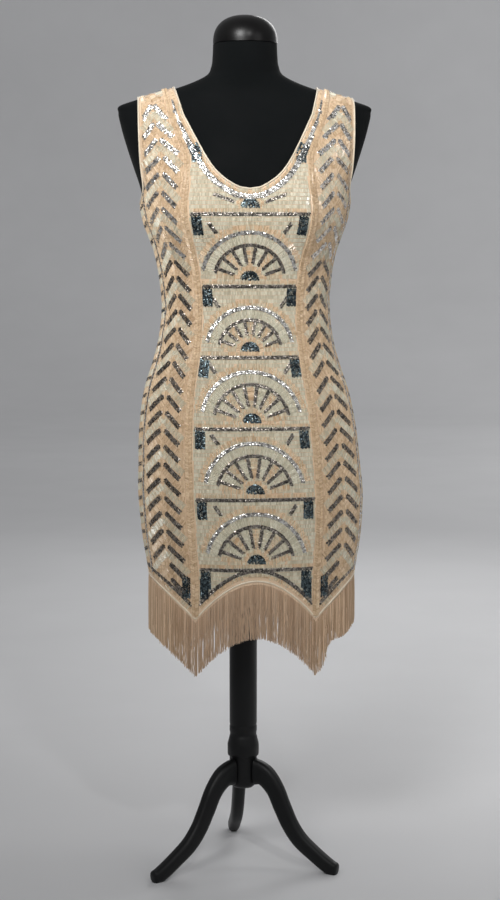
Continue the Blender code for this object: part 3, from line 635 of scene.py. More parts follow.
PEACH_GLASS = Loose("peach_glass", linear(230, 208, 178), linear(194, 166, 132), 0.33, coat=0.25,
                    middle=linear(214, 188, 155), patch=220.0)
BEAD_FINISHES = {
    Bead.PEACH: PEACH_GLASS,
    Bead.CREAM: Loose("cream_glass", linear(226, 222, 204), linear(188, 182, 160), 0.32, coat=0.3,
                      middle=linear(208, 203, 183), patch=220.0),
    Bead.SILVER: Loose("silver_foil", linear(250, 248, 244), linear(124, 122, 119), 0.24, metallic=0.95,
                       middle=linear(208, 205, 200), patch=300.0, rough_spread=0.06),
    Bead.GUNMETAL: Loose("gunmetal_foil", linear(168, 160, 150), linear(74, 70, 66), 0.26, metallic=0.9,
                         middle=linear(118, 112, 106), patch=300.0, rough_spread=0.06),
    Bead.DARK: Loose("dark_foil", linear(112, 128, 132), linear(34, 40, 44), 0.22, metallic=0.85,
                     middle=linear(62, 72, 76), patch=300.0, rough_spread=0.06),
}


@dataclass
class Mesh:
    """Points and faces gathered from many small parts."""

    SHARP = math.radians(38)
    points: list[np.ndarray] = field(default_factory=list)
    faces: list[np.ndarray] = field(default_factory=list)
    count: int = 0

    def add(self, points: np.ndarray, *blocks: np.ndarray) -> None:
        """Adds points, and blocks of faces that count from the first of these points.

        Args:
            points: rows of three numbers.
            blocks: arrays of point numbers, each block with faces of one size.
        """
        points = np.asarray(points, float).reshape(-1, 3)
        self.points.append(points)
        self.faces += [np.asarray(block, int) + self.count for block in blocks]
        self.count += len(points)

    def build(self, name: str, finish: Finish, slot: str, *nodes: str, flat: bool = False,
              outward: bool = False) -> Piece:
        """Makes the object, rides it on the frame's body and gives it its finish.

        Args:
            name: the piece's name.
            finish: its finish.
            slot: the record's material slot; not used.
            nodes: the frame's nodes that it replaces.
            flat: True for facets that catch the light.
            outward: True to turn every face of a closed piece outward.

        Returns:
            The new object.
        """
        mesh = bpy.data.meshes.new(name)
        faces = [row for block in self.faces for row in block.tolist()]
        mesh.from_pydata(np.concatenate(self.points).tolist(), [], faces)
        if outward:
            work = bmesh.new()
            work.from_mesh(mesh)
            bmesh.ops.recalc_face_normals(work, faces=work.faces)
            work.to_mesh(mesh)
            work.free()
        mesh.materials.append(finish.material())
        if not flat:
            mesh.shade_smooth()
            mesh.set_sharp_from_angle(angle=self.SHARP)
        piece = bpy.data.objects.new(name, mesh)
        bpy.context.scene.collection.objects.link(piece)
        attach(piece, BODY_NAME)
        if nodes:
            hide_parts(*nodes)
        log.info("made %s with %d faces", name, len(faces))
        return piece


def ring_faces(rings: int, sides: int) -> np.ndarray:
    """Four-sided faces between rings of points, each ring joined to the next."""
    first, k = np.arange(rings - 1)[:, None] * sides, np.arange(sides)[None, :]
    after = (k + 1) % sides
    faces = np.stack([first + k, first + after, first + sides + after, first + sides + k], axis=-1)
    return faces.reshape(-1, 4)


def end_faces(rings: int, sides: int) -> np.ndarray:
    """Triangles that close the first and the last ring."""
    fan = np.array([(0, k + 1, k) for k in range(1, sides - 1)])
    return np.concatenate([fan, fan[:, ::-1] + (rings - 1) * sides])


def add_rings(mesh: Mesh, rings: np.ndarray) -> None:
    """Adds a solid made of rings of points with closed ends."""
    count, sides = rings.shape[:2]
    mesh.add(rings, ring_faces(count, sides), end_faces(count, sides))


def add_cord(mesh: Mesh, path: np.ndarray, radius: float, sides: int, closed: bool = False) -> None:
    """Adds a round cord along a path.

    Args:
        mesh: what it is added to.
        path: rows of three numbers.
        radius: its radius.
        sides: the number of its sides.
        closed: True to join its ends.
    """
    count = len(path)
    ahead = np.roll(path, -1, axis=0) - np.roll(path, 1, axis=0) if closed else np.gradient(path, axis=0)
    along = unit(ahead)
    aslant = (0.12, 0.23, 1.0)
    frames = [unit(np.cross(along[0], aslant))]
    for direction in along[1:]:
        frames.append(unit(frames[-1] - direction * (frames[-1] @ direction)))
    first = np.array(frames)
    second = np.cross(along, first)
    angle = np.arange(sides) * math.tau / sides
    ring = first[:, None] * np.cos(angle)[None, :, None] + second[:, None] * np.sin(angle)[None, :, None]
    points = path[:, None] + ring * radius
    if not closed:
        add_rings(mesh, points)
        return
    gaps = [np.linalg.norm(np.roll(points[-1], -turn, axis=0) - points[0]) for turn in range(sides)]
    turn, k = int(np.argmin(gaps)), np.arange(sides)
    last = (count - 1) * sides
    join = np.stack([last + (k + turn) % sides, last + (k + 1 + turn) % sides, (k + 1) % sides, k], axis=-1)
    mesh.add(points, ring_faces(count, sides), join)


class Covered:
    """Remembers which places of one half of the dress already hold beads."""

    CELL = 0.0011
    LOW_Z = 0.30
    ROWS, COLUMNS = 1100, 900
    WIDTH_SHARE = 0.85

    def __init__(self) -> None:
        """Starts with nothing covered."""
        self.taken = np.zeros((self.ROWS, self.COLUMNS), bool)

    def _cells(self, p: np.ndarray) -> tuple[np.ndarray, np.ndarray]:
        """The cells of points: their height, and their turn round the body's axis."""
        half = SKIN.column("half", p[..., 2])
        turn = np.arctan2(p[..., 0] - SKIN.column("hang", p[..., 2]), np.abs(p[..., 1] - AXIS_Y) + 1e-9)
        i = ((p[..., 2] - self.LOW_Z) / self.CELL).astype(int)
        j = (self.COLUMNS / 2 + turn * half * self.WIDTH_SHARE / self.CELL).astype(int)
        return np.clip(i, 0, self.ROWS - 1), np.clip(j, 0, self.COLUMNS - 1)

    def free(self, p: np.ndarray) -> np.ndarray:
        """The share of each row's sample points that is still free."""
        return 1 - self.taken[self._cells(p)].mean(axis=-1)

    def take(self, p: np.ndarray) -> None:
        """Marks sample points as covered."""
        self.taken[self._cells(p)] = True


@dataclass(frozen=True)
class Stroke:
    """A band of beads along a line of (share, height) places."""

    kind: Bead
    line: Line
    width: float
    margin: float = 0.0022


@dataclass(frozen=True)
class Trace:
    """Even steps along a stroke: shares, heights, points, and the along, outward and crosswise directions."""

    c: np.ndarray
    z: np.ndarray
    p: np.ndarray
    along: np.ndarray
    out: np.ndarray
    cross: np.ndarray


class Beadwork:
    """Lays bugle beads and sequins on one half of the dress, and gathers them into one mesh for each kind."""

    PITCH = 0.0020
    BUGLE_WIDE = 0.0018
    BUGLE_HIGH = 0.0011
    BUGLE_GAP = 0.0004
    BUGLE_TURN, BUGLE_TILT, BUGLE_LEAN = 0.04, 0.03, 0.10
    BUGLE_LENGTHS, BUGLE_HEIGHTS = (0.94, 1.03), (0.85, 1.15)
    SEQUIN_RADIUS = 0.0019
    SEQUIN_PITCH = 0.0026
    SEQUIN_CUP = 0.00045
    SEQUIN_LEAN = 0.15
    SEQUIN_LIFTS = (0.0006, 0.0011)
    FREE_BUGLE, FREE_SEQUIN = 0.7, 0.5
    LINE_STEPS = 12
    SAMPLES = np.linspace(-0.42, 0.42, 5)

    def __init__(self, side: Side, seed: int) -> None:
        """Starts with an empty half of the dress."""
        self.side = side
        self.random = np.random.default_rng(seed)
        self.covered = Covered()
        self.meshes = {kind: Mesh() for kind in Bead}

    def trace(self, line: Line, pitch: float) -> Trace:
        """Even steps along a line of places.

        Args:
            line: the (share, height) pairs.
            pitch: the step on the cloth.

        Returns:
            The steps.
        """
        places = np.array(line, float)
        ends = zip(places[:-1], places[1:])
        parts = [np.linspace(a, b, self.LINE_STEPS, endpoint=False) for a, b in ends]
        fine = np.vstack([*parts, places[-1:]])
        path, _ = SKIN.place(fine[:, 0], fine[:, 1], self.side)
        run = path_run(path)
        count = max(int(run[-1] / pitch), 1)
        stops = (np.arange(count) + 0.5) * run[-1] / count
        c, z = np.interp(stops, run, fine[:, 0]), np.interp(stops, run, fine[:, 1])
        p, out = SKIN.place(c, z, self.side, BEAD_BASE)
        ahead = [np.interp(stops + pitch, run, axis) - np.interp(stops - pitch, run, axis) for axis in path.T]
        along = unit(np.stack(ahead, axis=-1))
        return Trace(c, z, p, along, out, unit(np.cross(out, along)))

    def lay(self, stroke: Stroke) -> None:
        """Lays one stroke: bugles crosswise, or overlapping sequins for the foil kinds."""
        if stroke.kind in (Bead.PEACH, Bead.CREAM):
            self.lay_bugles(stroke)
        else:
            self.lay_sequins(stroke)

    def lay_bugles(self, stroke: Stroke) -> None:
        """Lays bugle beads crosswise along a stroke."""
        t = self.trace(stroke.line, self.PITCH)
        ok = SKIN.on_cloth(t.c, t.z, self.side, stroke.margin)
        self.bugles(stroke.kind, t.p[ok], t.cross[ok], t.along[ok], t.out[ok], stroke.width - self.BUGLE_GAP)

    def claim(self, samples: np.ndarray, least: float) -> np.ndarray:
        """Finds the beads whose sample points are free enough, and marks them as covered."""
        keep = self.covered.free(samples) > least
        self.covered.take(samples[keep])
        return keep

    def bugles(self, kind: Bead, p: np.ndarray, axis: np.ndarray, wide: np.ndarray, out: np.ndarray,
               length: float) -> None:
        """Adds bugle beads whose places are still free.

        Args:
            kind: the finish.
            p: the middles of their undersides.
            axis: the directions of their length.
            wide: the directions of their width.
            out: the outward directions.
            length: their length.
        """
        samples = p[:, None, :] + axis[:, None, :] * (self.SAMPLES * length)[None, :, None]
        keep = self.claim(samples, self.FREE_BUGLE)
        count = int(keep.sum())
        if not count:
            return
        p, axis, wide, out = p[keep], axis[keep], wide[keep], out[keep]
        turn = wide * self.random.normal(0, self.BUGLE_TURN, (count, 1))
        axis = axis + turn + out * self.random.normal(0, self.BUGLE_TILT, (count, 1))
        size = self.random.uniform(*self.BUGLE_LENGTHS, (count, 1))
        high = self.random.uniform(*self.BUGLE_HEIGHTS, (count, 1)) * self.BUGLE_HIGH
        lean = self.random.normal(0, self.BUGLE_LEAN, (count, 1)) * self.BUGLE_WIDE
        corners = []
        for end in (-0.5, 0.5):
            base = p + axis * end * length * size
            corners += [base - wide * self.BUGLE_WIDE / 2, base + wide * self.BUGLE_WIDE / 2]
            corners += [base + out * high + wide * lean]
        start = 6 * np.arange(count)[:, None, None]
        sides = start + np.array([[0, 3, 4, 1], [1, 4, 5, 2], [2, 5, 3, 0]])[None]
        ends = start + np.array([[0, 1, 2], [5, 4, 3]])[None]
        self.meshes[kind].add(np.stack(corners, axis=1), sides.reshape(-1, 4), ends.reshape(-1, 3))

    def lay_sequins(self, stroke: Stroke) -> None:
        """Lays overlapping sequins over a stroke's width."""
        t = self.trace(stroke.line, self.SEQUIN_PITCH)
        ok = SKIN.on_cloth(t.c, t.z, self.side, stroke.margin)
        rows = max(1, round(stroke.width / self.SEQUIN_PITCH))
        for row in range(rows):
            across = (row - (rows - 1) / 2) * stroke.width / rows
            stagger = t.along * (self.SEQUIN_PITCH / 2 * (row % 2))
            self.sequins(stroke.kind, (t.p + t.cross * across + stagger)[ok], t.along[ok], t.out[ok])

    def sequins(self, kind: Bead, p: np.ndarray, along: np.ndarray, out: np.ndarray) -> None:
        """Adds cupped sequins, each a shallow six-sided cone that leans a little its own way.

        Args:
            kind: the finish.
            p: their middles.
            along: the direction of the row.
            out: the outward directions.
        """
        keep = self.claim(p[:, None, :], self.FREE_SEQUIN)
        count = int(keep.sum())
        if not count:
            return
        p, along, out = p[keep], along[keep], out[keep]
        lean = self.random.normal(0, self.SEQUIN_LEAN, (count, 2))
        out = unit(out + along * lean[:, :1] + np.cross(out, along) * lean[:, 1:])
        along = unit(along - out * np.sum(along * out, axis=1, keepdims=True))
        cross = np.cross(out, along)
        turn = self.random.uniform(0, math.tau, (count, 1))
        lift = self.random.uniform(*self.SEQUIN_LIFTS, (count, 1))
        corners = [p + out * (lift + self.SEQUIN_CUP)]
        for k in range(6):
            angle = turn + k * math.tau / 6
            spoke = along * np.cos(angle) + cross * np.sin(angle)
            corners.append(p + out * lift + self.SEQUIN_RADIUS * spoke)
        start = 7 * np.arange(count)[:, None, None]
        top = start + np.array([[0, 1 + k, 1 + (k + 1) % 6] for k in range(6)])[None]
        under = start + np.array([[1, 3, 2], [1, 5, 3], [3, 5, 4], [1, 6, 5]])[None]
        faces = np.concatenate([top, under], axis=1).reshape(-1, 3)
        self.meshes[kind].add(np.stack(corners, axis=1), faces)

    def build(self) -> list[Piece]:
        """Makes one piece for each kind of bead that was laid."""
        laid = [(kind, mesh) for kind, mesh in self.meshes.items() if mesh.count]
        return [mesh.build(f"{kind.value}_{self.side.word}", BEAD_FINISHES[kind], "beads", flat=True)
                for kind, mesh in laid]


@dataclass(frozen=True)
class Band:
    """A band of beads beside an edge: its kind, how far off the edge its middle lies, and its width."""

    kind: Bead
    off: float
    width: float


BAR_CYCLE = ((Bead.CREAM, 0.0112), (Bead.GUNMETAL, 0.0074), (Bead.PEACH, 0.0088), (Bead.GUNMETAL, 0.0074))
STRIPE_CYCLE = (
    (Bead.CREAM, 0.0100), (Bead.PEACH, 0.0084), (Bead.GUNMETAL, 0.0054), (Bead.PEACH, 0.0084),
    (Bead.CREAM, 0.0100), (Bead.DARK, 0.0054),
)


@dataclass
class Design:
    """The beads' design: a column of sunrise fans, peaked bars and level stripes beside it, and borders."""

    side: Side
    # The column of fans, its rims, rays, hearts and bases
    fan_pitch: float = 0.1056
    fan_low: float = 0.4860
    fan_numbers: range = range(-1, 6)
    fan_radius: float = 0.0780
    fan_span: float = math.radians(78)
    fan_middle: float = 0.035
    rim_bands: tuple[Band, ...] = (
        Band(Bead.SILVER, 0.0030, 0.0056), Band(Bead.CREAM, 0.0124, 0.0124),
        Band(Bead.GUNMETAL, 0.0214, 0.0046),
    )
    ray_start: float = 0.0215
    ray_stop: float = 0.0246
    ray_width: float = 0.0100
    ray_degrees: int = 20
    ray_count: int = 9
    dash_start: float = 0.0235
    dash_width: float = 0.0044
    low_dashes: Line = ((-70, 0.055), (-52, 0.036), (52, 0.036), (70, 0.055))
    heart_radii: Triple = (0.0025, 0.0070, 0.0115)
    heart_width: float = 0.0046
    heart_span: float = math.radians(88)
    heart_rim: Band = Band(Bead.PEACH, 0.0176, 0.0062)
    heart_rim_span: float = math.radians(86)
    base_bands: tuple[Band, ...] = (Band(Bead.PEACH, 0.0036, 0.0054), Band(Bead.GUNMETAL, 0.0096, 0.0046))
    base_past: float = 0.012
    # The corners beside a fan
    block_under: float = 0.0135
    block_inset: float = 0.030
    block_tall: float = 0.0260
    block_wide: float = 0.0150
    corner_band: Band = Band(Bead.PEACH, 0.0050, 0.0088)
    corner_dash: Pair = (0.0105, 0.0285)
    corner_width: float = 0.0058
    corner_degrees: int = 35
    column_edge: float = 0.388
    # The peaked bars and their dashes
    bar_inner: float = 0.482
    bar_peak: float = 0.648
    bar_outer: float = 0.814
    bar_low: float = 0.360
    bar_high: float = 1.185
    bar_rise: float = 0.030
    bar_slant: float = 0.745
    bar_gap: float = 0.0007
    bar_dash_ends: Pair = (0.026, 0.020)
    dash_margin: float = 0.0012
    dash_over_hem: float = 0.0210
    gleam_z: float = 0.930
    # The stripes at the side seams
    side_line: float = 0.838
    side_line_ends: Pair = (0.40, 1.045)
    side_line_width: float = 0.0050
    side_inner: float = 0.862
    side_edge: float = 0.999
    side_low: float = 0.395
    side_high: float = 1.030
    side_slope: float = 0.006
    # The borders of the neck, the armholes and the hem
    neck_border: float = 0.0165
    neck_bands: tuple[Band, ...] = (Band(Bead.PEACH, 0.0044, 0.0040), Band(Bead.SILVER, 0.0106, 0.0078))
    arm_band: Band = Band(Bead.PEACH, 0.0046, 0.0044)
    arm_band_rise: float = 0.004
    arm_band_top: float = 1.180
    under_arm_band: Band = Band(Bead.PEACH, 0.0052, 0.0044)
    under_arm_start: float = 0.84
    hem_bands: tuple[Band, ...] = (Band(Bead.PEACH, 0.0070, 0.0050), Band(Bead.GUNMETAL, 0.0142, 0.0056))
    hem_blocks: tuple[float, ...] = (-0.508, -0.372, 0.372, 0.508)
    hem_block_ends: Pair = (0.030, 0.062)
    hem_block_wide: float = 0.0130
    # The plain ground, and the place kept for the raised bands
    ground_low: float = 0.397
    ground_high: float = 1.195
    ground_row: float = 0.0060
    ground_gap: float = 0.0005
    ground_edge: float = 0.998
    ground_margin: float = 0.0033
    band_place: Pair = (0.395, 1.2)
    band_width: float = 0.0128
    strap_z: float = 1.06
    strap_share: float = 0.7
    work: Beadwork = field(init=False)

    def __post_init__(self) -> None:
        """Prepares the beadwork of this half."""
        self.work = Beadwork(self.side, seed=11 if self.side is Side.FRONT else 12)

    def lay(self, kind: Bead, line: Line, width: float) -> None:
        """Lays one stroke of beads."""
        self.work.lay(Stroke(kind, line, width))

    def quarter(self, z: float) -> float:
        """The quarter girth at a height, near enough for sizing motifs."""
        half, reach = float(SKIN.column("half", np.array(z))), float(SKIN.reach(np.array(z), self.side))
        return 0.5 * math.pi * math.sqrt((half * half + reach * reach) / 2) * 1.01

    def outer(self, foot: float) -> float:
        """The outer radius of the fan that stands on a height."""
        return min(self.fan_radius, self.column_edge * self.quarter(foot + self.fan_middle))

    def polar(self, foot: float, radius: float, angle: float) -> Pair:
        """The place at a radius from the foot of a fan, at an angle from straight up."""
        z = foot + radius * math.cos(angle)
        return radius * math.sin(angle) / self.quarter(z), z

    def arc(self, kind: Bead, foot: float, radius: float, width: float, span: float) -> None:
        """Lays an arc of beads about the foot of a fan."""
        line = tuple(self.polar(foot, radius, angle) for angle in np.linspace(-span, span, 15))
        self.lay(kind, line, width)

    def ray(self, kind: Bead, foot: float, ends: Pair, degrees: float, width: float) -> None:
        """Lays a ray of beads from one radius to another."""
        angle = math.radians(degrees)
        self.lay(kind, tuple(self.polar(foot, radius, angle) for radius in ends), width)

    def spread(self, count: int) -> list[float]:
        """The angles of some rays in degrees, evenly about straight up."""
        return [self.ray_degrees * (number - (count - 1) / 2) for number in range(count)]

    def room(self, foot: float) -> float:
        """The height that is free above the foot of a fan, under the neckline's border."""
        return NECKLINES[self.side][0].z - foot - self.neck_border

    def fan(self, foot: float) -> None:
        """One sunrise: rims and rays where they have room, a dark heart and a level base."""
        if self.room(foot) >= self.outer(foot):
            self.rims(foot)
        else:
            for degrees, tip in self.low_dashes:
                self.ray(Bead.GUNMETAL, foot, (self.dash_start, tip), degrees, self.dash_width)
        for radius in self.heart_radii:
            self.arc(Bead.DARK, foot, radius, self.heart_width, self.heart_span)
        rim = self.heart_rim
        self.arc(rim.kind, foot, rim.off, rim.width, self.heart_rim_span)
        edge = self.column_edge + self.base_past
        for band in self.base_bands:
            self.lay(band.kind, ((-edge, foot - band.off), (edge, foot - band.off)), band.width)

    def rims(self, foot: float) -> None:
        """The three rims of a fan, and its pale rays with dashes between them."""
        outer = self.outer(foot)
        for band in self.rim_bands:
            self.arc(band.kind, foot, outer - band.off, band.width, self.fan_span)
        tip = outer - self.ray_stop
        for degrees in self.spread(self.ray_count - 1):
            self.ray(Bead.GUNMETAL, foot, (self.dash_start, tip), degrees, self.dash_width)
        for number, degrees in enumerate(self.spread(self.ray_count)):
            kind = (Bead.PEACH, Bead.CREAM)[number % 2]
            self.ray(kind, foot, (self.ray_start, tip), degrees, self.ray_width)

    def corners(self, foot: float) -> None:
        """Fills the corners beside a fan: dark blocks, and a peach rim and dashes where they have room."""
        outer = self.outer(foot)
        top = foot + self.fan_pitch - self.block_under
        middle = self.column_edge - self.block_inset
        for hand in HANDS:
            line = ((hand * middle, top - self.block_tall), (hand * middle, top))
            self.lay(Bead.DARK, line, self.block_wide)
        if self.room(foot) < outer or foot < HEM_TIP_Z:
            return
        band = self.corner_band
        self.arc(band.kind, foot, outer + band.off, band.width, self.fan_span)
        start, stop = self.corner_dash
        for hand in HANDS:
            degrees = hand * self.corner_degrees
            self.ray(Bead.GUNMETAL, foot, (outer + start, outer + stop), degrees, self.corner_width)

    def fans(self) -> None:
        """The column of fans between the raised bands."""
        feet = [self.fan_low + number * self.fan_pitch for number in self.fan_numbers]
        for foot in feet:
            self.fan(foot)
        for foot in feet:
            self.corners(foot)

    def whole(self, start: Pair, end: Pair) -> bool:
        """Whether a dash lies on the cloth along its whole length, clear of the hem's border."""
        c, z = np.linspace(start[0], end[0], 7), np.linspace(start[1], end[1], 7)
        over_hem = z > SKIN.hem_z(c) + self.dash_over_hem
        return bool(np.all(SKIN.on_cloth(c, z, self.side, self.dash_margin) & over_hem))

    def bars(self, hand: int) -> None:
        """Bars that slant up to a peak beside the raised band: pale ones right across, and dashes between."""
        z, number = self.bar_low, 0
        while z < self.bar_high:
            kind, width = BAR_CYCLE[number % len(BAR_CYCLE)]
            step = (width + self.bar_gap) / self.bar_slant
            middle = z + step / 2
            dash = kind is Bead.GUNMETAL
            inset, reach = self.bar_dash_ends if dash else (0.0, 0.0)
            slope = self.bar_rise / (self.bar_peak - self.bar_inner)
            low, peak = middle + slope * inset, middle + self.bar_rise - slope * reach
            kind = Bead.SILVER if dash and middle > self.gleam_z else kind
            for start, end in ((self.bar_inner + inset, self.bar_peak - reach),
                               (self.bar_outer - inset, self.bar_peak + reach)):
                if dash and not self.whole((start, low), (end, peak)):
                    continue
                self.lay(kind, ((hand * start, low), (hand * end, peak)), width)
            z += step
            number += 1

    def sides(self, hand: int) -> None:
        """A straight silver line from hem to armhole, and level stripes between it and the side seam."""
        line = tuple((hand * self.side_line, float(z)) for z in np.linspace(*self.side_line_ends, 40))
        self.lay(Bead.SILVER, line, self.side_line_width)
        z, number = self.side_low, 0
        while z < self.side_high:
            kind, width = STRIPE_CYCLE[number % len(STRIPE_CYCLE)]
            middle = z + width / 2
            line = ((hand * self.side_inner, middle + self.side_slope), (hand * self.side_edge, middle))
            self.lay(kind, line, width)
            z += width + self.bar_gap
            number += 1

    def beside_neck(self, band: Band) -> None:
        """Lays a band that follows the neckline."""
        x, z = SKIN.neckline(self.side, 40)
        way = unit(np.stack([np.gradient(x), np.gradient(z)], axis=-1))
        x, z = np.maximum(x + band.off * way[:, 1], 0), z - band.off * way[:, 0]
        c = SKIN.share_at(x, z, self.side)
        right = [(float(a), float(b)) for a, b in zip(c, z)]
        left = [(-a, b) for a, b in right[:0:-1]]
        self.lay(band.kind, tuple(left + right), band.width)

    def borders(self) -> None:
        """The bands along the neckline, the armholes and the hem."""
        for band in self.neck_bands:
            self.beside_neck(band)
        level = np.linspace(ARM_CORNER_Z + self.arm_band_rise, self.arm_band_top, 30)
        beside = SKIN.share_at(SKIN.arm_x(level) - self.arm_band.off, level, self.side)
        under = np.linspace(self.under_arm_start, self.side_edge, 12)
        arm, low = self.arm_band, self.under_arm_band
        below = SKIN.under_arm_z(under) - low.off
        for hand in HANDS:
            line = tuple((hand * float(a), float(b)) for a, b in zip(beside, level))
            self.lay(arm.kind, line, arm.width)
            line = tuple((hand * float(a), float(b)) for a, b in zip(under, below))
            self.lay(low.kind, line, low.width)
        c = np.linspace(-self.side_edge, self.side_edge, 161)
        for band in self.hem_bands:
            line = tuple((float(a), float(b) + band.off) for a, b in zip(c, SKIN.hem_z(c)))
            self.lay(band.kind, line, band.width)
        bottom, top = (HEM_TIP_Z + rise for rise in self.hem_block_ends)
        for middle in self.hem_blocks:
            self.lay(Bead.DARK, ((middle, bottom), (middle, top)), self.hem_block_wide)

    def ground(self) -> None:
        """Fills what is left with upright bugles, in rows from the hem up."""
        turns = np.linspace(-self.ground_edge, self.ground_edge, 400)
        for z in np.arange(self.ground_low, self.ground_high, self.ground_row):
            p, _ = SKIN.place(turns, np.full_like(turns, z), self.side, BEAD_BASE)
            run = path_run(p)
            count = int(run[-1] / self.work.PITCH)
            c = np.interp((np.arange(count) + 0.5) * run[-1] / count, run, turns)
            c = c[SKIN.on_cloth(c, np.full_like(c, z), self.side, self.ground_margin)]
            if not len(c):
                continue
            level = np.full_like(c, z)
            p, out = SKIN.place(c, level, self.side, BEAD_BASE)
            up = unit(SKIN.place(c, level + 0.001, self.side, BEAD_BASE)[0] - p)
            wide = unit(np.cross(up, out))
            inner = np.abs(c) < HEM_POINT
            length = self.ground_row - self.ground_gap
            for kind, chosen in ((Bead.CREAM, inner), (Bead.PEACH, ~inner)):
                self.work.bugles(kind, p[chosen], up[chosen], wide[chosen], out[chosen], length)

    def reserve(self, line: Line) -> None:
        """Keeps the raised band's place free of other beads."""
        t = self.work.trace(line, 0.001)
        slim = np.where(t.z > self.strap_z, self.strap_share, 1.0)[:, None, None]
        offsets = np.linspace(-0.5, 0.5, 19)[None, :, None] * self.band_width * slim
        self.work.covered.take(t.p[:, None, :] + t.cross[:, None, :] * offsets)

    def make(self) -> list[Piece]:
        """Lays everything in order and builds the pieces."""
        for hand in HANDS:
            self.reserve(tuple((hand * HEM_POINT, float(z)) for z in np.linspace(*self.band_place, 60)))
        self.borders()
        self.fans()
        for hand in HANDS:
            self.bars(hand)
            self.sides(hand)
        self.ground()
        return self.work.build()


@dataclass
class NetPanel:
    """The fine net of one half of the dress, a thin cloth cut to the hem, neck and armholes."""

    side: Side
    columns: int = 120
    skirt_rows: int = 130
    yoke_rows: int = 12
    strap_rows: int = 26
    slack: float = 1e-9
    neck_flatness: int = 5
    corner_start: float = 0.9
    cut_width: float = 0.450
    cut_length: float = 0.830
    cut_area: float = 0.290
    finish: Finish = Finish("peach_net", linear(232, 206, 176), linear(208, 178, 146), 0.65, sheen=0.25,
                            patch=40.0, thread=1500.0, thread_share=0.55, bump=0.5)

    def share_columns(self) -> np.ndarray:
        """Signed shares of the columns, with the neck, hem point and armhole edges among them."""
        stops = (0, NECK_EDGE, HEM_POINT, ARM_EDGE, 1)
        parts = [np.linspace(low, high, max(2, round((high - low) * self.columns / 2)), endpoint=False)
                 for low, high in zip(stops[:-1], stops[1:])]
        half = np.concatenate([*parts, [1.0]])
        return np.concatenate([-half[:0:-1], half])

    def grid(self) -> tuple[np.ndarray, np.ndarray, np.ndarray, np.ndarray]:
        """The cloth's grid by row and column: shares, x, z, and which places the cloth has."""
        c = self.share_columns()
        a = np.abs(c)
        corner = NECK_CORNER[self.side]
        across = np.clip((a - NECK_EDGE) / (ARM_EDGE - NECK_EDGE), 0, 1)
        on_strap = (a > NECK_EDGE - self.slack) & (a < ARM_EDGE + self.slack)
        at_arm = np.abs(a - ARM_EDGE) < self.slack
        low = SKIN.hem_z(c)
        high = np.where(a > ARM_EDGE - self.slack, SKIN.under_arm_z(c),
                        CHEST_Z + (ARM_CORNER_Z - CHEST_Z) * (a / ARM_EDGE) ** self.neck_flatness)
        foot_x = corner.x * np.minimum(a / NECK_EDGE, 1)
        foot_z = np.where(on_strap, corner.z + STRAP_FOOT_RISE * across, SKIN.neck_z(foot_x, self.side))
        foot_x = np.where(on_strap, SKIN.strap_x(across, foot_z, self.side), foot_x)
        rows = []
        for t in np.linspace(0, 1, self.skirt_rows + 1):
            z = low + (high - low) * t
            x = np.abs(SKIN.chart_x(c, z, self.side))
            bend = smooth((t - self.corner_start) * 10)
            x = np.where(at_arm, x + (SKIN.arm_x(np.array(ARM_CORNER_Z)) - x) * bend, x)
            rows.append((x, z, np.ones(len(c), bool)))
        start_x, start_z = rows[-1][0], rows[-1][1]
        for t in np.linspace(0, 1, self.yoke_rows + 1)[1:]:
            z = start_z + (foot_z - start_z) * t
            x = np.where(at_arm, SKIN.arm_x(z), start_x + (foot_x - start_x) * t)
            rows.append((x, z, a < ARM_EDGE + self.slack))
        top = SKIN.strap_top(across, self.side)
        for t in np.linspace(0, 1, self.strap_rows + 1)[1:]:
            z = foot_z + (top - foot_z) * (1 - (1 - t) ** 2)
            rows.append((SKIN.strap_x(across, z, self.side), z, on_strap))
        z = np.array([row[1] for row in rows])
        x = np.copysign(np.minimum([row[0] for row in rows], SKIN.column("half", z)), c[None])
        return np.broadcast_to(c, x.shape), x, z, np.array([row[2] for row in rows])

    def make(self) -> Piece:
        """Builds the thin cloth with its inside, outside and rim."""
        c, x, z, mask = self.grid()
        inside, n = SKIN.place(c, z, self.side, CLOTH_LIFT, x)
        outside = inside + n * CLOTH_WALL
        for layer in (inside, outside):
            stop_at_seam(layer, self.side)
        quads = mask[:-1, :-1] & mask[:-1, 1:] & mask[1:, :-1] & mask[1:, 1:]
        row, column = np.nonzero(quads)
        wide = x.shape[1]
        a = row * wide + column
        used, loops = np.unique(np.stack([a, a + 1, a + wide + 1, a + wide], axis=1), return_inverse=True)
        loops = loops.reshape(-1, 4)
        count = len(used)
        edges = np.concatenate([loops[:, [k, (k + 1) % 4]] for k in range(4)])
        keys = {(int(i), int(j)) for i, j in edges}
        rim = sorted((j, i, i + count, j + count) for i, j in keys if (j, i) not in keys)
        mesh = Mesh()
        points = np.concatenate([inside.reshape(-1, 3)[used], outside.reshape(-1, 3)[used]])
        mesh.add(points, loops, loops[:, ::-1] + count, np.array(rim))
        word = self.side.word
        return mesh.build(f"net_{word}", self.finish, "net", f"dress_{word}", outward=True)


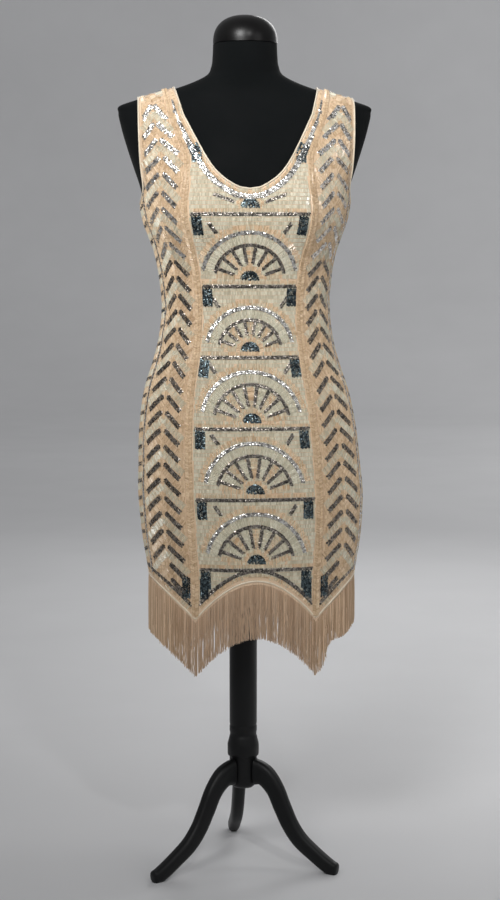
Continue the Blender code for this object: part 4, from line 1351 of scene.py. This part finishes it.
@dataclass
class Trims:
    """The narrow bindings of the neck and armholes and the piping of the hem."""

    radius: float = 0.0013
    off: float = 0.0014
    lift: float = 0.0018
    sides: int = 8
    below_crest: float = 0.0004
    satin: Finish = Finish("cream_satin", linear(240, 228, 206), linear(222, 206, 180), 0.42, sheen=0.3,
                           patch=90.0, thread=1400.0, bump=0.35, bump_depth=0.0002)

    def edge(self, p: np.ndarray, n: np.ndarray, away: Triple) -> np.ndarray:
        """A path just off a cloth edge.

        Args:
            p: points of the edge.
            n: the outward directions there.
            away: a direction off the cloth at the path's middle.

        Returns:
            Rows of three numbers.
        """
        off = unit(np.cross(np.gradient(p, axis=0), n))
        if off[len(off) // 2] @ np.array(away) < 0:
            off = -off
        return p + off * self.off + n * self.lift

    def soften(self, rows: np.ndarray, times: int) -> np.ndarray:
        """Rounds off the corners of a path between its ends."""
        for _ in range(times):
            rows = np.concatenate([rows[:1], (rows[:-2] + 2 * rows[1:-1] + rows[2:]) / 4, rows[-1:]])
        return rows

    def neck_path(self, side: Side) -> np.ndarray:
        """The neckline's edge from the left shoulder to the right one."""
        top = float(SKIN.strap_top(np.array(0.0), side))
        half = self.soften(np.stack(SKIN.neckline(side, 90), axis=1), 3)
        half = half[half[:, 1] < top - self.below_crest]
        half = np.vstack([half, [float(SKIN.neck_x(np.array(top), side)), top]])
        whole = np.vstack([half[:0:-1] * (-1, 1), half])
        p = SKIN.at(whole[:, 0], whole[:, 1], side)
        return self.edge(p, SKIN.normal(p, side), (0, 0, 1))

    def arm_path(self, side: Side, hand: int) -> np.ndarray:
        """The armhole's edge from the side seam up to the shoulder."""
        c = np.linspace(1, ARM_EDGE, 14)
        z = SKIN.under_arm_z(c)
        top = float(SKIN.strap_top(np.array(1.0), side))
        t = np.linspace(0, 1, 44)[1:]
        up = ARM_CORNER_Z + (top - ARM_CORNER_Z) * (1 - (1 - t) ** 2)
        rows = np.stack([np.append(SKIN.chart_x(c, z, side), SKIN.arm_x(up)), np.append(z, up)], axis=1)
        rows = self.soften(rows, 4)
        p = SKIN.at(hand * rows[:, 0], rows[:, 1], side)
        return self.edge(p, SKIN.normal(p, side), (hand, 0, 0.2))

    def loop(self, name: str, front: np.ndarray, back: np.ndarray, node: str) -> Piece:
        """A binding that runs along the front's edge and back along the back's.

        Args:
            name: its name.
            front: the path in front.
            back: the path behind, from the same end.
            node: the frame's node that it replaces.

        Returns:
            The new object.
        """
        mesh = Mesh()
        path = np.concatenate([front[:-1], back[::-1][:-1]])
        add_cord(mesh, path, self.radius, self.sides, closed=True)
        return mesh.build(name, self.satin, "binding", node, outward=True)

    def hem(self, side: Side) -> Piece:
        """The piping of one half of the hem."""
        c = hem_shares(60, 121)
        p, n = SKIN.place(c, SKIN.hem_z(c), side)
        path = self.soften(self.edge(p, n, (0, 0, -1)), 2)
        stop_at_seam(path, side)
        mesh = Mesh()
        add_cord(mesh, path, self.radius, self.sides)
        name, node = f"hem_edge_{side.word}", f"hem_piping_{side.word}"
        return mesh.build(name, self.satin, "binding", node, outward=True)

    def make(self) -> list[Piece]:
        """Builds the bindings and the piping."""
        made = [self.loop("neck_edge", self.neck_path(Side.FRONT), self.neck_path(Side.BACK), "neck_binding")]
        for word, hand in (("left", -1), ("right", 1)):
            front, back = (self.arm_path(side, hand) for side in Side)
            made.append(self.loop(f"armhole_edge_{word}", front, back, f"armhole_binding_{word}"))
        return made + [self.hem(side) for side in Side]


@dataclass
class RaisedBand:
    """A raised band of two rows of leaning bugles over a soft core, from a hem point to the strap."""

    side: Side
    hand: int
    width: float = 0.0112
    strap_width: float = 0.0080
    narrow_from: float = 1.02
    narrow_over: float = 0.08
    strap_from: float = 1.05
    top: float = 1.199
    pitch: float = 0.0019
    clear: Pair = (0.001, 0.0004)
    core: float = 0.0015
    sunk: float = 0.72
    lean: float = 0.38
    row_off: float = 0.25
    bugle_share: float = 0.48
    profile: Line = ((-0.5, 0.0), (-0.42, 0.7), (-0.24, 1.0), (-0.06, 0.7), (0.0, 0.4),
                     (0.06, 0.7), (0.24, 1.0), (0.42, 0.7), (0.5, 0.0))

    def make(self) -> Piece:
        """Builds the core and the two rows of bugles as one piece."""
        work = Beadwork(self.side, seed=31 + self.hand)
        heights = np.linspace(HEM_TIP_Z, self.top, 90)
        t = work.trace(tuple((self.hand * HEM_POINT, float(z)) for z in heights), self.pitch)
        above, below = self.clear
        ok = (t.z > HEM_TIP_Z + above) & (t.z < SKIN.crest_z(t.p[:, 0]) - below)
        p, z, along, out, cross = t.p[ok], t.z[ok], t.along[ok], t.out[ok], t.cross[ok]
        narrowing = smooth((z - self.narrow_from) / self.narrow_over)
        wide = (self.width + (self.strap_width - self.width) * narrowing)[:, None]
        mesh = work.meshes[Bead.PEACH]
        core = [p + cross * wide * u + out * self.core * v for u, v in self.profile]
        add_rings(mesh, np.stack(core, axis=1))
        on_strap = z >= self.strap_from
        for half in HANDS:
            base = p + cross * wide * self.row_off * half + out * self.core * self.sunk
            axis = unit(cross + along * self.lean * half)
            work.covered = Covered()
            for chosen, size in ((~on_strap, self.width), (on_strap, self.strap_width)):
                across = np.cross(axis[chosen], out[chosen])
                length = size * self.bugle_share
                work.bugles(Bead.PEACH, base[chosen], axis[chosen], across, out[chosen], length)
        words = f"{self.side.word}_{'left' if self.hand < 0 else 'right'}"
        return mesh.build(f"raised_band_{words}", PEACH_GLASS, "beads", f"rib_{words}", flat=True)


FRINGE_TRIMMED = {
    Side.FRONT: (
        (0.492, 0.0), (0.505, 0.004), (0.534, 0.020), (0.573, 0.026), (0.630, 0.021), (0.708, 0.011),
        (0.770, 0.012), (1.0, 0.014),
    ),
    Side.BACK: ((0.80, 0.0), (1.0, 0.014)),
}


@dataclass
class Fringe:
    """The fringe of one half: a narrow tape and many fine threads that hang from it."""

    side: Side
    threads: int = 1250
    length: float = 0.0860
    thread_radius: float = 0.00050
    thread_top: float = 0.0030
    tip_share: float = 0.8
    jitter: float = 0.2
    deep: Pair = (-0.0012, 0.0011)
    settle: int = 5
    uneven: float = 0.0012
    sway: float = 0.0013
    curl: float = 0.0007
    curl_turns: int = 7
    shares: tuple[float, ...] = (0.0, 0.10, 0.35, 0.62, 0.82, 1.0)
    tape_high: float = 0.0022
    tape_low: float = 0.0066
    tape_half: float = 0.00035
    finish: Finish = Loose("tan_rayon", linear(238, 212, 182), linear(182, 152, 122), 0.40, sheen=0.35,
                           middle=linear(200, 172, 142), patch=240.0)

    def below_hem(self, c: np.ndarray, below: float) -> tuple[np.ndarray, np.ndarray]:
        """Points a distance below the hem's edge, and the outward directions there."""
        p, n = SKIN.place(c, SKIN.hem_z(c), self.side, CLOTH_LIFT + CLOTH_WALL / 2)
        return p - np.array([0, 0, below]), n

    def make(self) -> Piece:
        """Builds the tape and the threads as one piece."""
        random = np.random.default_rng(5 + self.side.value)
        fine = np.linspace(-1, 1, 600)
        edge, _ = self.below_hem(fine, 0.0)
        run = path_run(edge[:, :2])
        aside = random.uniform(-self.jitter, self.jitter, self.threads)
        stops = (np.arange(self.threads) + 0.5 + aside) * run[-1] / self.threads
        top, n = self.below_hem(np.interp(stops, run, fine), self.thread_top)
        level = unit(n * (1, 1, 0))
        across = np.stack([-level[:, 1], level[:, 0], np.zeros(len(n))], axis=1)
        deep = random.uniform(*self.deep, self.threads)
        drop = self.length + random.normal(0, self.uneven, self.threads)
        drop -= np.interp(np.interp(stops, run, fine), *zip(*FRINGE_TRIMMED[self.side]))
        sway = random.normal(0, self.sway, self.threads)
        curl = random.normal(0, self.curl, self.threads)
        rings = []
        for share in self.shares:
            aside = sway * share**1.5 + curl * math.sin(share * self.curl_turns)
            centre = top + level * (deep * min(1, share * self.settle))[:, None] + across * aside[:, None]
            centre[:, 2] -= drop * share
            size = self.thread_radius * (self.tip_share if share == 1 else 1.0)
            for k in range(3):
                angle = k * math.tau / 3 + math.pi / 2
                rings.append(centre + size * (level * math.sin(angle) + across * math.cos(angle)))
        start = (np.arange(self.threads) * 3 * len(self.shares))[:, None, None]
        quads = start + ring_faces(len(self.shares), 3)[None]
        caps = start + end_faces(len(self.shares), 3)[None]
        mesh = Mesh()
        mesh.add(np.stack(rings, axis=1), quads.reshape(-1, 4), caps.reshape(-1, 3))
        self.add_tape(mesh)
        word = self.side.word
        return mesh.build(f"fringe_threads_{word}", self.finish, "fringe", f"fringe_{word}", outward=True)

    def add_tape(self, mesh: Mesh) -> None:
        """Adds the narrow woven tape that the threads hang from."""
        c = hem_shares(50, 90)
        high, n = self.below_hem(c, self.tape_high)
        low, _ = self.below_hem(c, self.tape_low)
        half = n * self.tape_half
        add_rings(mesh, np.stack([high - half, high + half, low + half, low - half], axis=1))


@dataclass
class Torso:
    """The limbless form: a jersey-covered torso and a smoother cap on its neck."""

    bottom: float = 0.505
    neck_top: float = 1.260
    form_swell: float = 0.88
    shoulder_z: float = 1.150
    shoulder_drop: float = 0.0007
    shoulder_blend: float = 0.020
    cap_height: float = 0.0430
    cap_round: float = 0.85
    around: int = 128
    underside: Line = ((0.0, 0.006), (0.0018, 0.0018))
    body_start: float = 0.006
    shoulder_rows: Pair = (1.154, 1.205)
    neck_start: float = 1.208
    cap_step: Line = ((0.975, 0.0), (1.0, 0.02), (1.0, 0.06))
    cap_around: int = 96
    jersey: Finish = Finish("black_jersey", linear(11, 14, 15), linear(6, 8, 9), 0.9, sheen=0.02,
                            specular=0.15, patch=18.0, thread=1200.0, thread_share=0.6, bump=0.35)
    gloss: Finish = Finish("black_cap", linear(9, 8, 8), linear(5, 4, 4), 0.34, specular=0.30, patch=25.0,
                           thread=300.0, thread_share=0.4, bump=0.08, bump_depth=0.0002)

    def ring(self, z: float, angle: np.ndarray, extra: float) -> np.ndarray:
        """One level ring of the torso.

        Args:
            z: its height.
            angle: the turn of each point from the front.
            extra: how much further in it lies than the plain ease.

        Returns:
            Rows of three numbers.
        """
        at = np.full_like(angle, z)
        inset = SKIN.column("ease", at) + SEAM_GAP + extra
        front = np.cos(angle) > 0
        x = (SKIN.column("half", at) - inset) * squared(np.sin(angle), 2 / SQUARENESS)
        reach = np.where(front, SKIN.column("front", at), SKIN.column("back", at)) - inset
        depth = reach * np.abs(np.cos(angle)) ** (2 / SQUARENESS)
        depth = depth + self.form_swell * np.where(front, SKIN.swell(x, at, Side.FRONT), 0)
        sink = self.shoulder_drop * np.clip((at - self.shoulder_z) / self.shoulder_blend, 0, 1)
        sink = sink * np.clip((self.neck_top - at) / self.shoulder_blend, 0, 1)
        return np.stack([x, np.where(front, -depth, depth) + AXIS_Y, at - sink], axis=-1)

    def make(self) -> list[Piece]:
        """Builds the torso and the cap."""
        angle = np.arange(self.around) * math.tau / self.around
        levels = [(self.bottom + rise, extra) for rise, extra in self.underside]
        heights = [np.linspace(self.bottom + self.body_start, self.shoulder_z, 110),
                   np.linspace(*self.shoulder_rows, 44), np.linspace(self.neck_start, self.neck_top, 24)]
        levels += [(float(z), 0.0) for z in np.concatenate(heights)]
        mesh = Mesh()
        add_rings(mesh, np.array([self.ring(z, angle, extra) for z, extra in levels]))
        torso = mesh.build("torso", self.jersey, "jersey", "dress_form", outward=True)
        return [torso, self.make_cap()]

    def make_cap(self) -> Piece:
        """Builds the domed cap with a fine step where it meets the neck."""
        top = np.array(self.neck_top)
        inset = float(SKIN.column("ease", top))
        half, front, back = (float(SKIN.column(name, top)) - inset for name in ("half", "front", "back"))
        foot = self.cap_step[-1][1]
        profile = [*self.cap_step]
        profile += [(math.cos(a) ** self.cap_round, foot + (1 - foot) * math.sin(a) ** self.cap_round)
                    for a in np.linspace(0.05, 1.53, 30)]
        angle = np.arange(self.cap_around) * math.tau / self.cap_around
        rings = []
        for share, lift in profile:
            y = AXIS_Y + (back - front) / 2 - (front + back) / 2 * share * np.cos(angle)
            z = np.full_like(y, self.neck_top + SEAM_GAP + self.cap_height * lift)
            rings.append(np.stack([half * share * np.sin(angle), y, z], axis=-1))
        mesh = Mesh()
        add_rings(mesh, np.array(rings))
        return mesh.build("neck_dome", self.gloss, "cap", "neck_cap", outward=True)


@dataclass(frozen=True)
class LegPoint:
    """One station of a leg: reach from the post's axis, height, half height and half width."""

    reach: float
    z: float
    tall: float
    wide: float


@dataclass(frozen=True)
class Splay:
    """Where one leg points, in degrees from the front, and how its reach is stretched."""

    bearing: float
    stretch: float


@dataclass
class Stand:
    """The disc under the torso, the turned post and its three curved legs."""

    splays: tuple[Splay, ...] = (Splay(-53.5, 1.053), Splay(58.0, 0.947), Splay(182.0, 0.988))
    stations: tuple[LegPoint, ...] = (
        LegPoint(0.0217, 0.1440, 0.0205, 0.0110), LegPoint(0.0400, 0.1390, 0.0170, 0.0110),
        LegPoint(0.0580, 0.1200, 0.0145, 0.0105), LegPoint(0.0720, 0.0925, 0.0138, 0.0102),
        LegPoint(0.0860, 0.0670, 0.0132, 0.0100), LegPoint(0.1040, 0.0455, 0.0128, 0.0098),
        LegPoint(0.1300, 0.0270, 0.0120, 0.0095), LegPoint(0.1560, 0.0115, 0.0115, 0.0092),
        LegPoint(0.1720, 0.0085, 0.0085, 0.0080),
    )
    leg_squareness: float = 0.7
    foot_flat: float = 0.0016
    foot_shrink: Triple = (0.97, 0.86, 0.6)
    steps: int = 72
    sides: int = 32
    around: int = 72
    post: Line = (
        (0.0060, 0.1170), (0.0150, 0.1180), (0.0190, 0.1215), (0.0209, 0.1262), (0.0213, 0.1300),
        (0.0213, 0.1660), (0.0222, 0.1672), (0.0240, 0.1690), (0.0244, 0.1720), (0.0245, 0.1850),
        (0.0240, 0.1885), (0.0222, 0.1950), (0.0215, 0.1990), (0.0206, 0.2005), (0.0208, 0.2060),
        (0.0213, 0.2075), (0.0213, 0.2150), (0.0206, 0.2165), (0.0208, 0.2180), (0.0213, 0.2200),
        (0.0214, 0.3000), (0.0214, 0.4901),
    )
    disc: Line = (
        (0.0405, 0.4907), (0.0430, 0.4912), (0.0455, 0.4937), (0.0460, 0.4957), (0.0460, 0.5037),
        (0.0452, 0.5047),
    )
    paint: Finish = Finish("black_paint", linear(14, 15, 16), linear(7, 8, 9), 0.42, specular=0.3,
                           patch=14.0, thread=160.0, stretch=(1.0, 1.0, 0.12), bump=0.25, bump_depth=0.0004)

    def turned(self, name: str, profile: Line, node: str) -> Piece:
        """A piece turned about the post's axis.

        Args:
            name: its name.
            profile: radius and height pairs, bottom to top.
            node: the frame's node that it replaces.

        Returns:
            The new object.
        """
        angle = np.arange(self.around) * math.tau / self.around
        rings = []
        for radius, z in profile:
            x, y = POST_X + radius * np.sin(angle), AXIS_Y - radius * np.cos(angle)
            rings.append(np.stack([x, y, np.full_like(angle, z)], axis=-1))
        mesh = Mesh()
        add_rings(mesh, np.array(rings))
        return mesh.build(name, self.paint, "wood", node, outward=True)

    def station(self, t: float) -> np.ndarray:
        """Reach, height, half height and half width of a leg, t from 0 at the post to 1 at the foot."""
        rows = np.array([(p.reach, p.z, p.tall, p.wide) for p in self.stations])
        place = t * (len(rows) - 1)
        i = min(int(place), len(rows) - 2)
        u = place - i
        around = [rows[max(i - 1, 0)], rows[i], rows[i + 1], rows[min(i + 2, len(rows) - 1)]]
        ease = np.array([-0.5 * u + u * u - 0.5 * u**3, 1 - 2.5 * u * u + 1.5 * u**3,
                         0.5 * u + 2 * u * u - 1.5 * u**3, -0.5 * u * u + 0.5 * u**3])
        return ease @ np.array(around)

    def leg(self, number: int, splay: Splay) -> Piece:
        """One curved leg with softly rounded edges and a flat foot."""
        stations = np.array([self.station(i / self.steps) for i in range(self.steps + 1)])
        inner = self.stations[0].reach
        stations[:, 0] = inner + (stations[:, 0] - inner) * splay.stretch
        along = unit(np.gradient(stations[:, :2], axis=0))
        along[:3] = (1, 0)
        bearing = math.radians(splay.bearing)
        way = np.array([math.sin(bearing), -math.cos(bearing), 0])
        sideways = np.array([math.cos(bearing), math.sin(bearing), 0])
        angle = (np.arange(self.sides) + 0.5) * math.tau / self.sides
        across = squared(np.cos(angle), self.leg_squareness)
        raised = squared(np.sin(angle), self.leg_squareness)
        shrink = np.concatenate([np.ones(self.steps + 1 - len(self.foot_shrink)), self.foot_shrink])
        rings = []
        for (reach, z, tall, wide), (run, rise), size in zip(stations, along, shrink):
            outward = reach - rise * raised * tall * size
            level = z + run * raised * tall * size
            ring = way[None] * outward[:, None] + sideways[None] * (across * wide * size)[:, None]
            ring += (POST_X, AXIS_Y, 0)
            ring[:, 2] = np.where(level > self.foot_flat, level, 0.0)
            rings.append(ring)
        mesh = Mesh()
        add_rings(mesh, np.array(rings))
        return mesh.build(f"curved_leg_{number}", self.paint, "wood", f"leg_{number}", outward=True)

    def make(self) -> list[Piece]:
        """Builds the whole stand."""
        made = [self.turned("disc", self.disc, "post_flange"), self.turned("turned_post", self.post, "post")]
        return made + [self.leg(number, splay) for number, splay in enumerate(self.splays, start=1)]


@dataclass(frozen=True)
class Lamp:
    """One soft square light: its place, what it faces, its side in metres, its watts and its spread."""

    name: str
    place: Triple
    aim: Triple
    size: float
    power: float
    spread: float = 180.0


@dataclass
class Studio:
    """A pale floor that rises into a round wall far away, soft lights and the camera at the photo's angle."""

    distance: float = 3.0
    height: float = 0.95
    tilt: float = math.radians(5.78)
    azimuth: float = math.radians(-4)
    lens: float = 78.4
    axis_off: float = 0.0076
    floor_radius: float = 8.0
    wall_curve: float = 4.0
    around: int = 96
    sensor: float = 36
    sky_colour: Colour = (0.97, 0.98, 1.0)
    sky_strength: float = 0.27
    lamps: tuple[Lamp, ...] = (
        Lamp("key", (-0.8, -1.9, 2.15), (0, 0, 1.3), 0.8, 5.6, 54),
        Lamp("fill", (2.2, -2.4, 1.9), (0, 0, 1.1), 1.4, 7),
        Lamp("sparkle", (0.4, -2.4, 2.3), (0, 0, 1.1), 0.12, 9),
        Lamp("rear", (1.0, 2.6, 2.0), (0, 0, 0.7), 1.2, 18),
        Lamp("wash", (5.2, 3.4, 4.4), (4.2, 9.0, 0.0), 2.0, 190),
        Lamp("floor", (2.6, 0.5, 3.0), (1.8, 0.5, 0.0), 1.0, 7, 60),
    )
    paper: Finish = Finish("pale_paper", linear(226, 226, 227), linear(220, 220, 221), 0.9, specular=0.1,
                           patch=0.6, thread=4.0, bump=0.0)

    def backdrop(self) -> None:
        """The floor and the wall, turned about the middle."""
        bend = np.linspace(0, math.pi / 2, 20)
        profile = [(0.5, 0.0)] + [(self.floor_radius + self.wall_curve * math.sin(a),
                                   self.wall_curve * (1 - math.cos(a))) for a in bend]
        angle = np.arange(self.around) * math.tau / self.around
        rings = np.array([np.stack([r * np.sin(angle), r * np.cos(angle), np.full_like(angle, z)], axis=-1)
                          for r, z in profile])
        mesh = bpy.data.meshes.new("pale_floor")
        faces = ring_faces(len(profile), len(angle)).tolist() + [list(range(len(angle)))[::-1]]
        mesh.from_pydata(rings.reshape(-1, 3).tolist(), [], faces)
        mesh.shade_smooth()
        mesh.materials.append(self.paper.material())
        floor = bpy.data.objects.new("pale_floor", mesh)
        bpy.context.scene.collection.objects.link(floor)

    def light(self, lamp: Lamp) -> None:
        """Sets up one lamp."""
        data = bpy.data.lights.new(lamp.name, "AREA")
        data.size, data.energy, data.spread = lamp.size, lamp.power, math.radians(lamp.spread)
        thing = bpy.data.objects.new(lamp.name, data)
        thing.location = lamp.place
        thing.rotation_euler = (Vector(lamp.aim) - Vector(lamp.place)).to_track_quat("-Z", "Y").to_euler()
        bpy.context.scene.collection.objects.link(thing)

    def sky(self) -> None:
        """The plain soft light from all round."""
        world = bpy.data.worlds.new("studio")
        world.use_nodes = True
        light = world.node_tree.nodes["Background"]
        light.inputs["Color"].default_value = (*self.sky_colour, 1)
        light.inputs["Strength"].default_value = self.sky_strength
        bpy.context.scene.world = world

    def camera(self) -> None:
        """The camera, about three metres away and tilted a little down."""
        sight = bpy.data.cameras.new("camera")
        sight.lens = self.lens
        sight.sensor_width = self.sensor
        thing = bpy.data.objects.new("camera", sight)
        right = Vector((math.cos(self.azimuth), math.sin(self.azimuth), 0))
        back = Vector((math.sin(self.azimuth), -math.cos(self.azimuth), 0)) * self.distance
        thing.location = Vector((0, AXIS_Y, self.height)) + back + right * self.axis_off
        thing.rotation_euler = (math.pi / 2 - self.tilt, 0, self.azimuth)
        bpy.context.scene.collection.objects.link(thing)
        bpy.context.scene.camera = thing

    def make(self) -> None:
        """Sets up the whole studio."""
        self.camera()
        self.backdrop()
        self.sky()
        for lamp in self.lamps:
            self.light(lamp)
        bpy.context.scene.view_settings.view_transform = "Standard"


@dataclass
class Dress:
    """The whole dress: its net, bindings, raised bands, beadwork and fringe."""

    trims: Trims = field(default_factory=Trims)

    def make(self) -> list[Piece]:
        """Builds every piece: the bindings, and each half's net, fringe, raised bands and beadwork."""
        edges = self.trims.make()
        made = list(edges)
        for side in Side:
            panel = NetPanel(side)
            net = panel.make()
            carried = [Fringe(side).make()]
            carried += [RaisedBand(side, hand).make() for hand in HANDS]
            carried += Design(side).make()
            made += [net, *carried]
        return made


def report(pieces: list[Piece]) -> None:
    """Logs each piece by name and size."""
    for piece in pieces:
        width, depth, height = (1000 * size for size in piece.dimensions)
        log.info("%s: %.0f x %.0f x %.0f mm", piece.name, width, depth, height)


def main() -> None:
    """Builds the studio, the stand, the torso and the dress."""
    logging.basicConfig(level=logging.INFO, format="%(message)s")
    Studio().make()
    report(Stand().make())
    report(Torso().make())
    report(Dress().make())


if __name__ == "__main__":
    main()
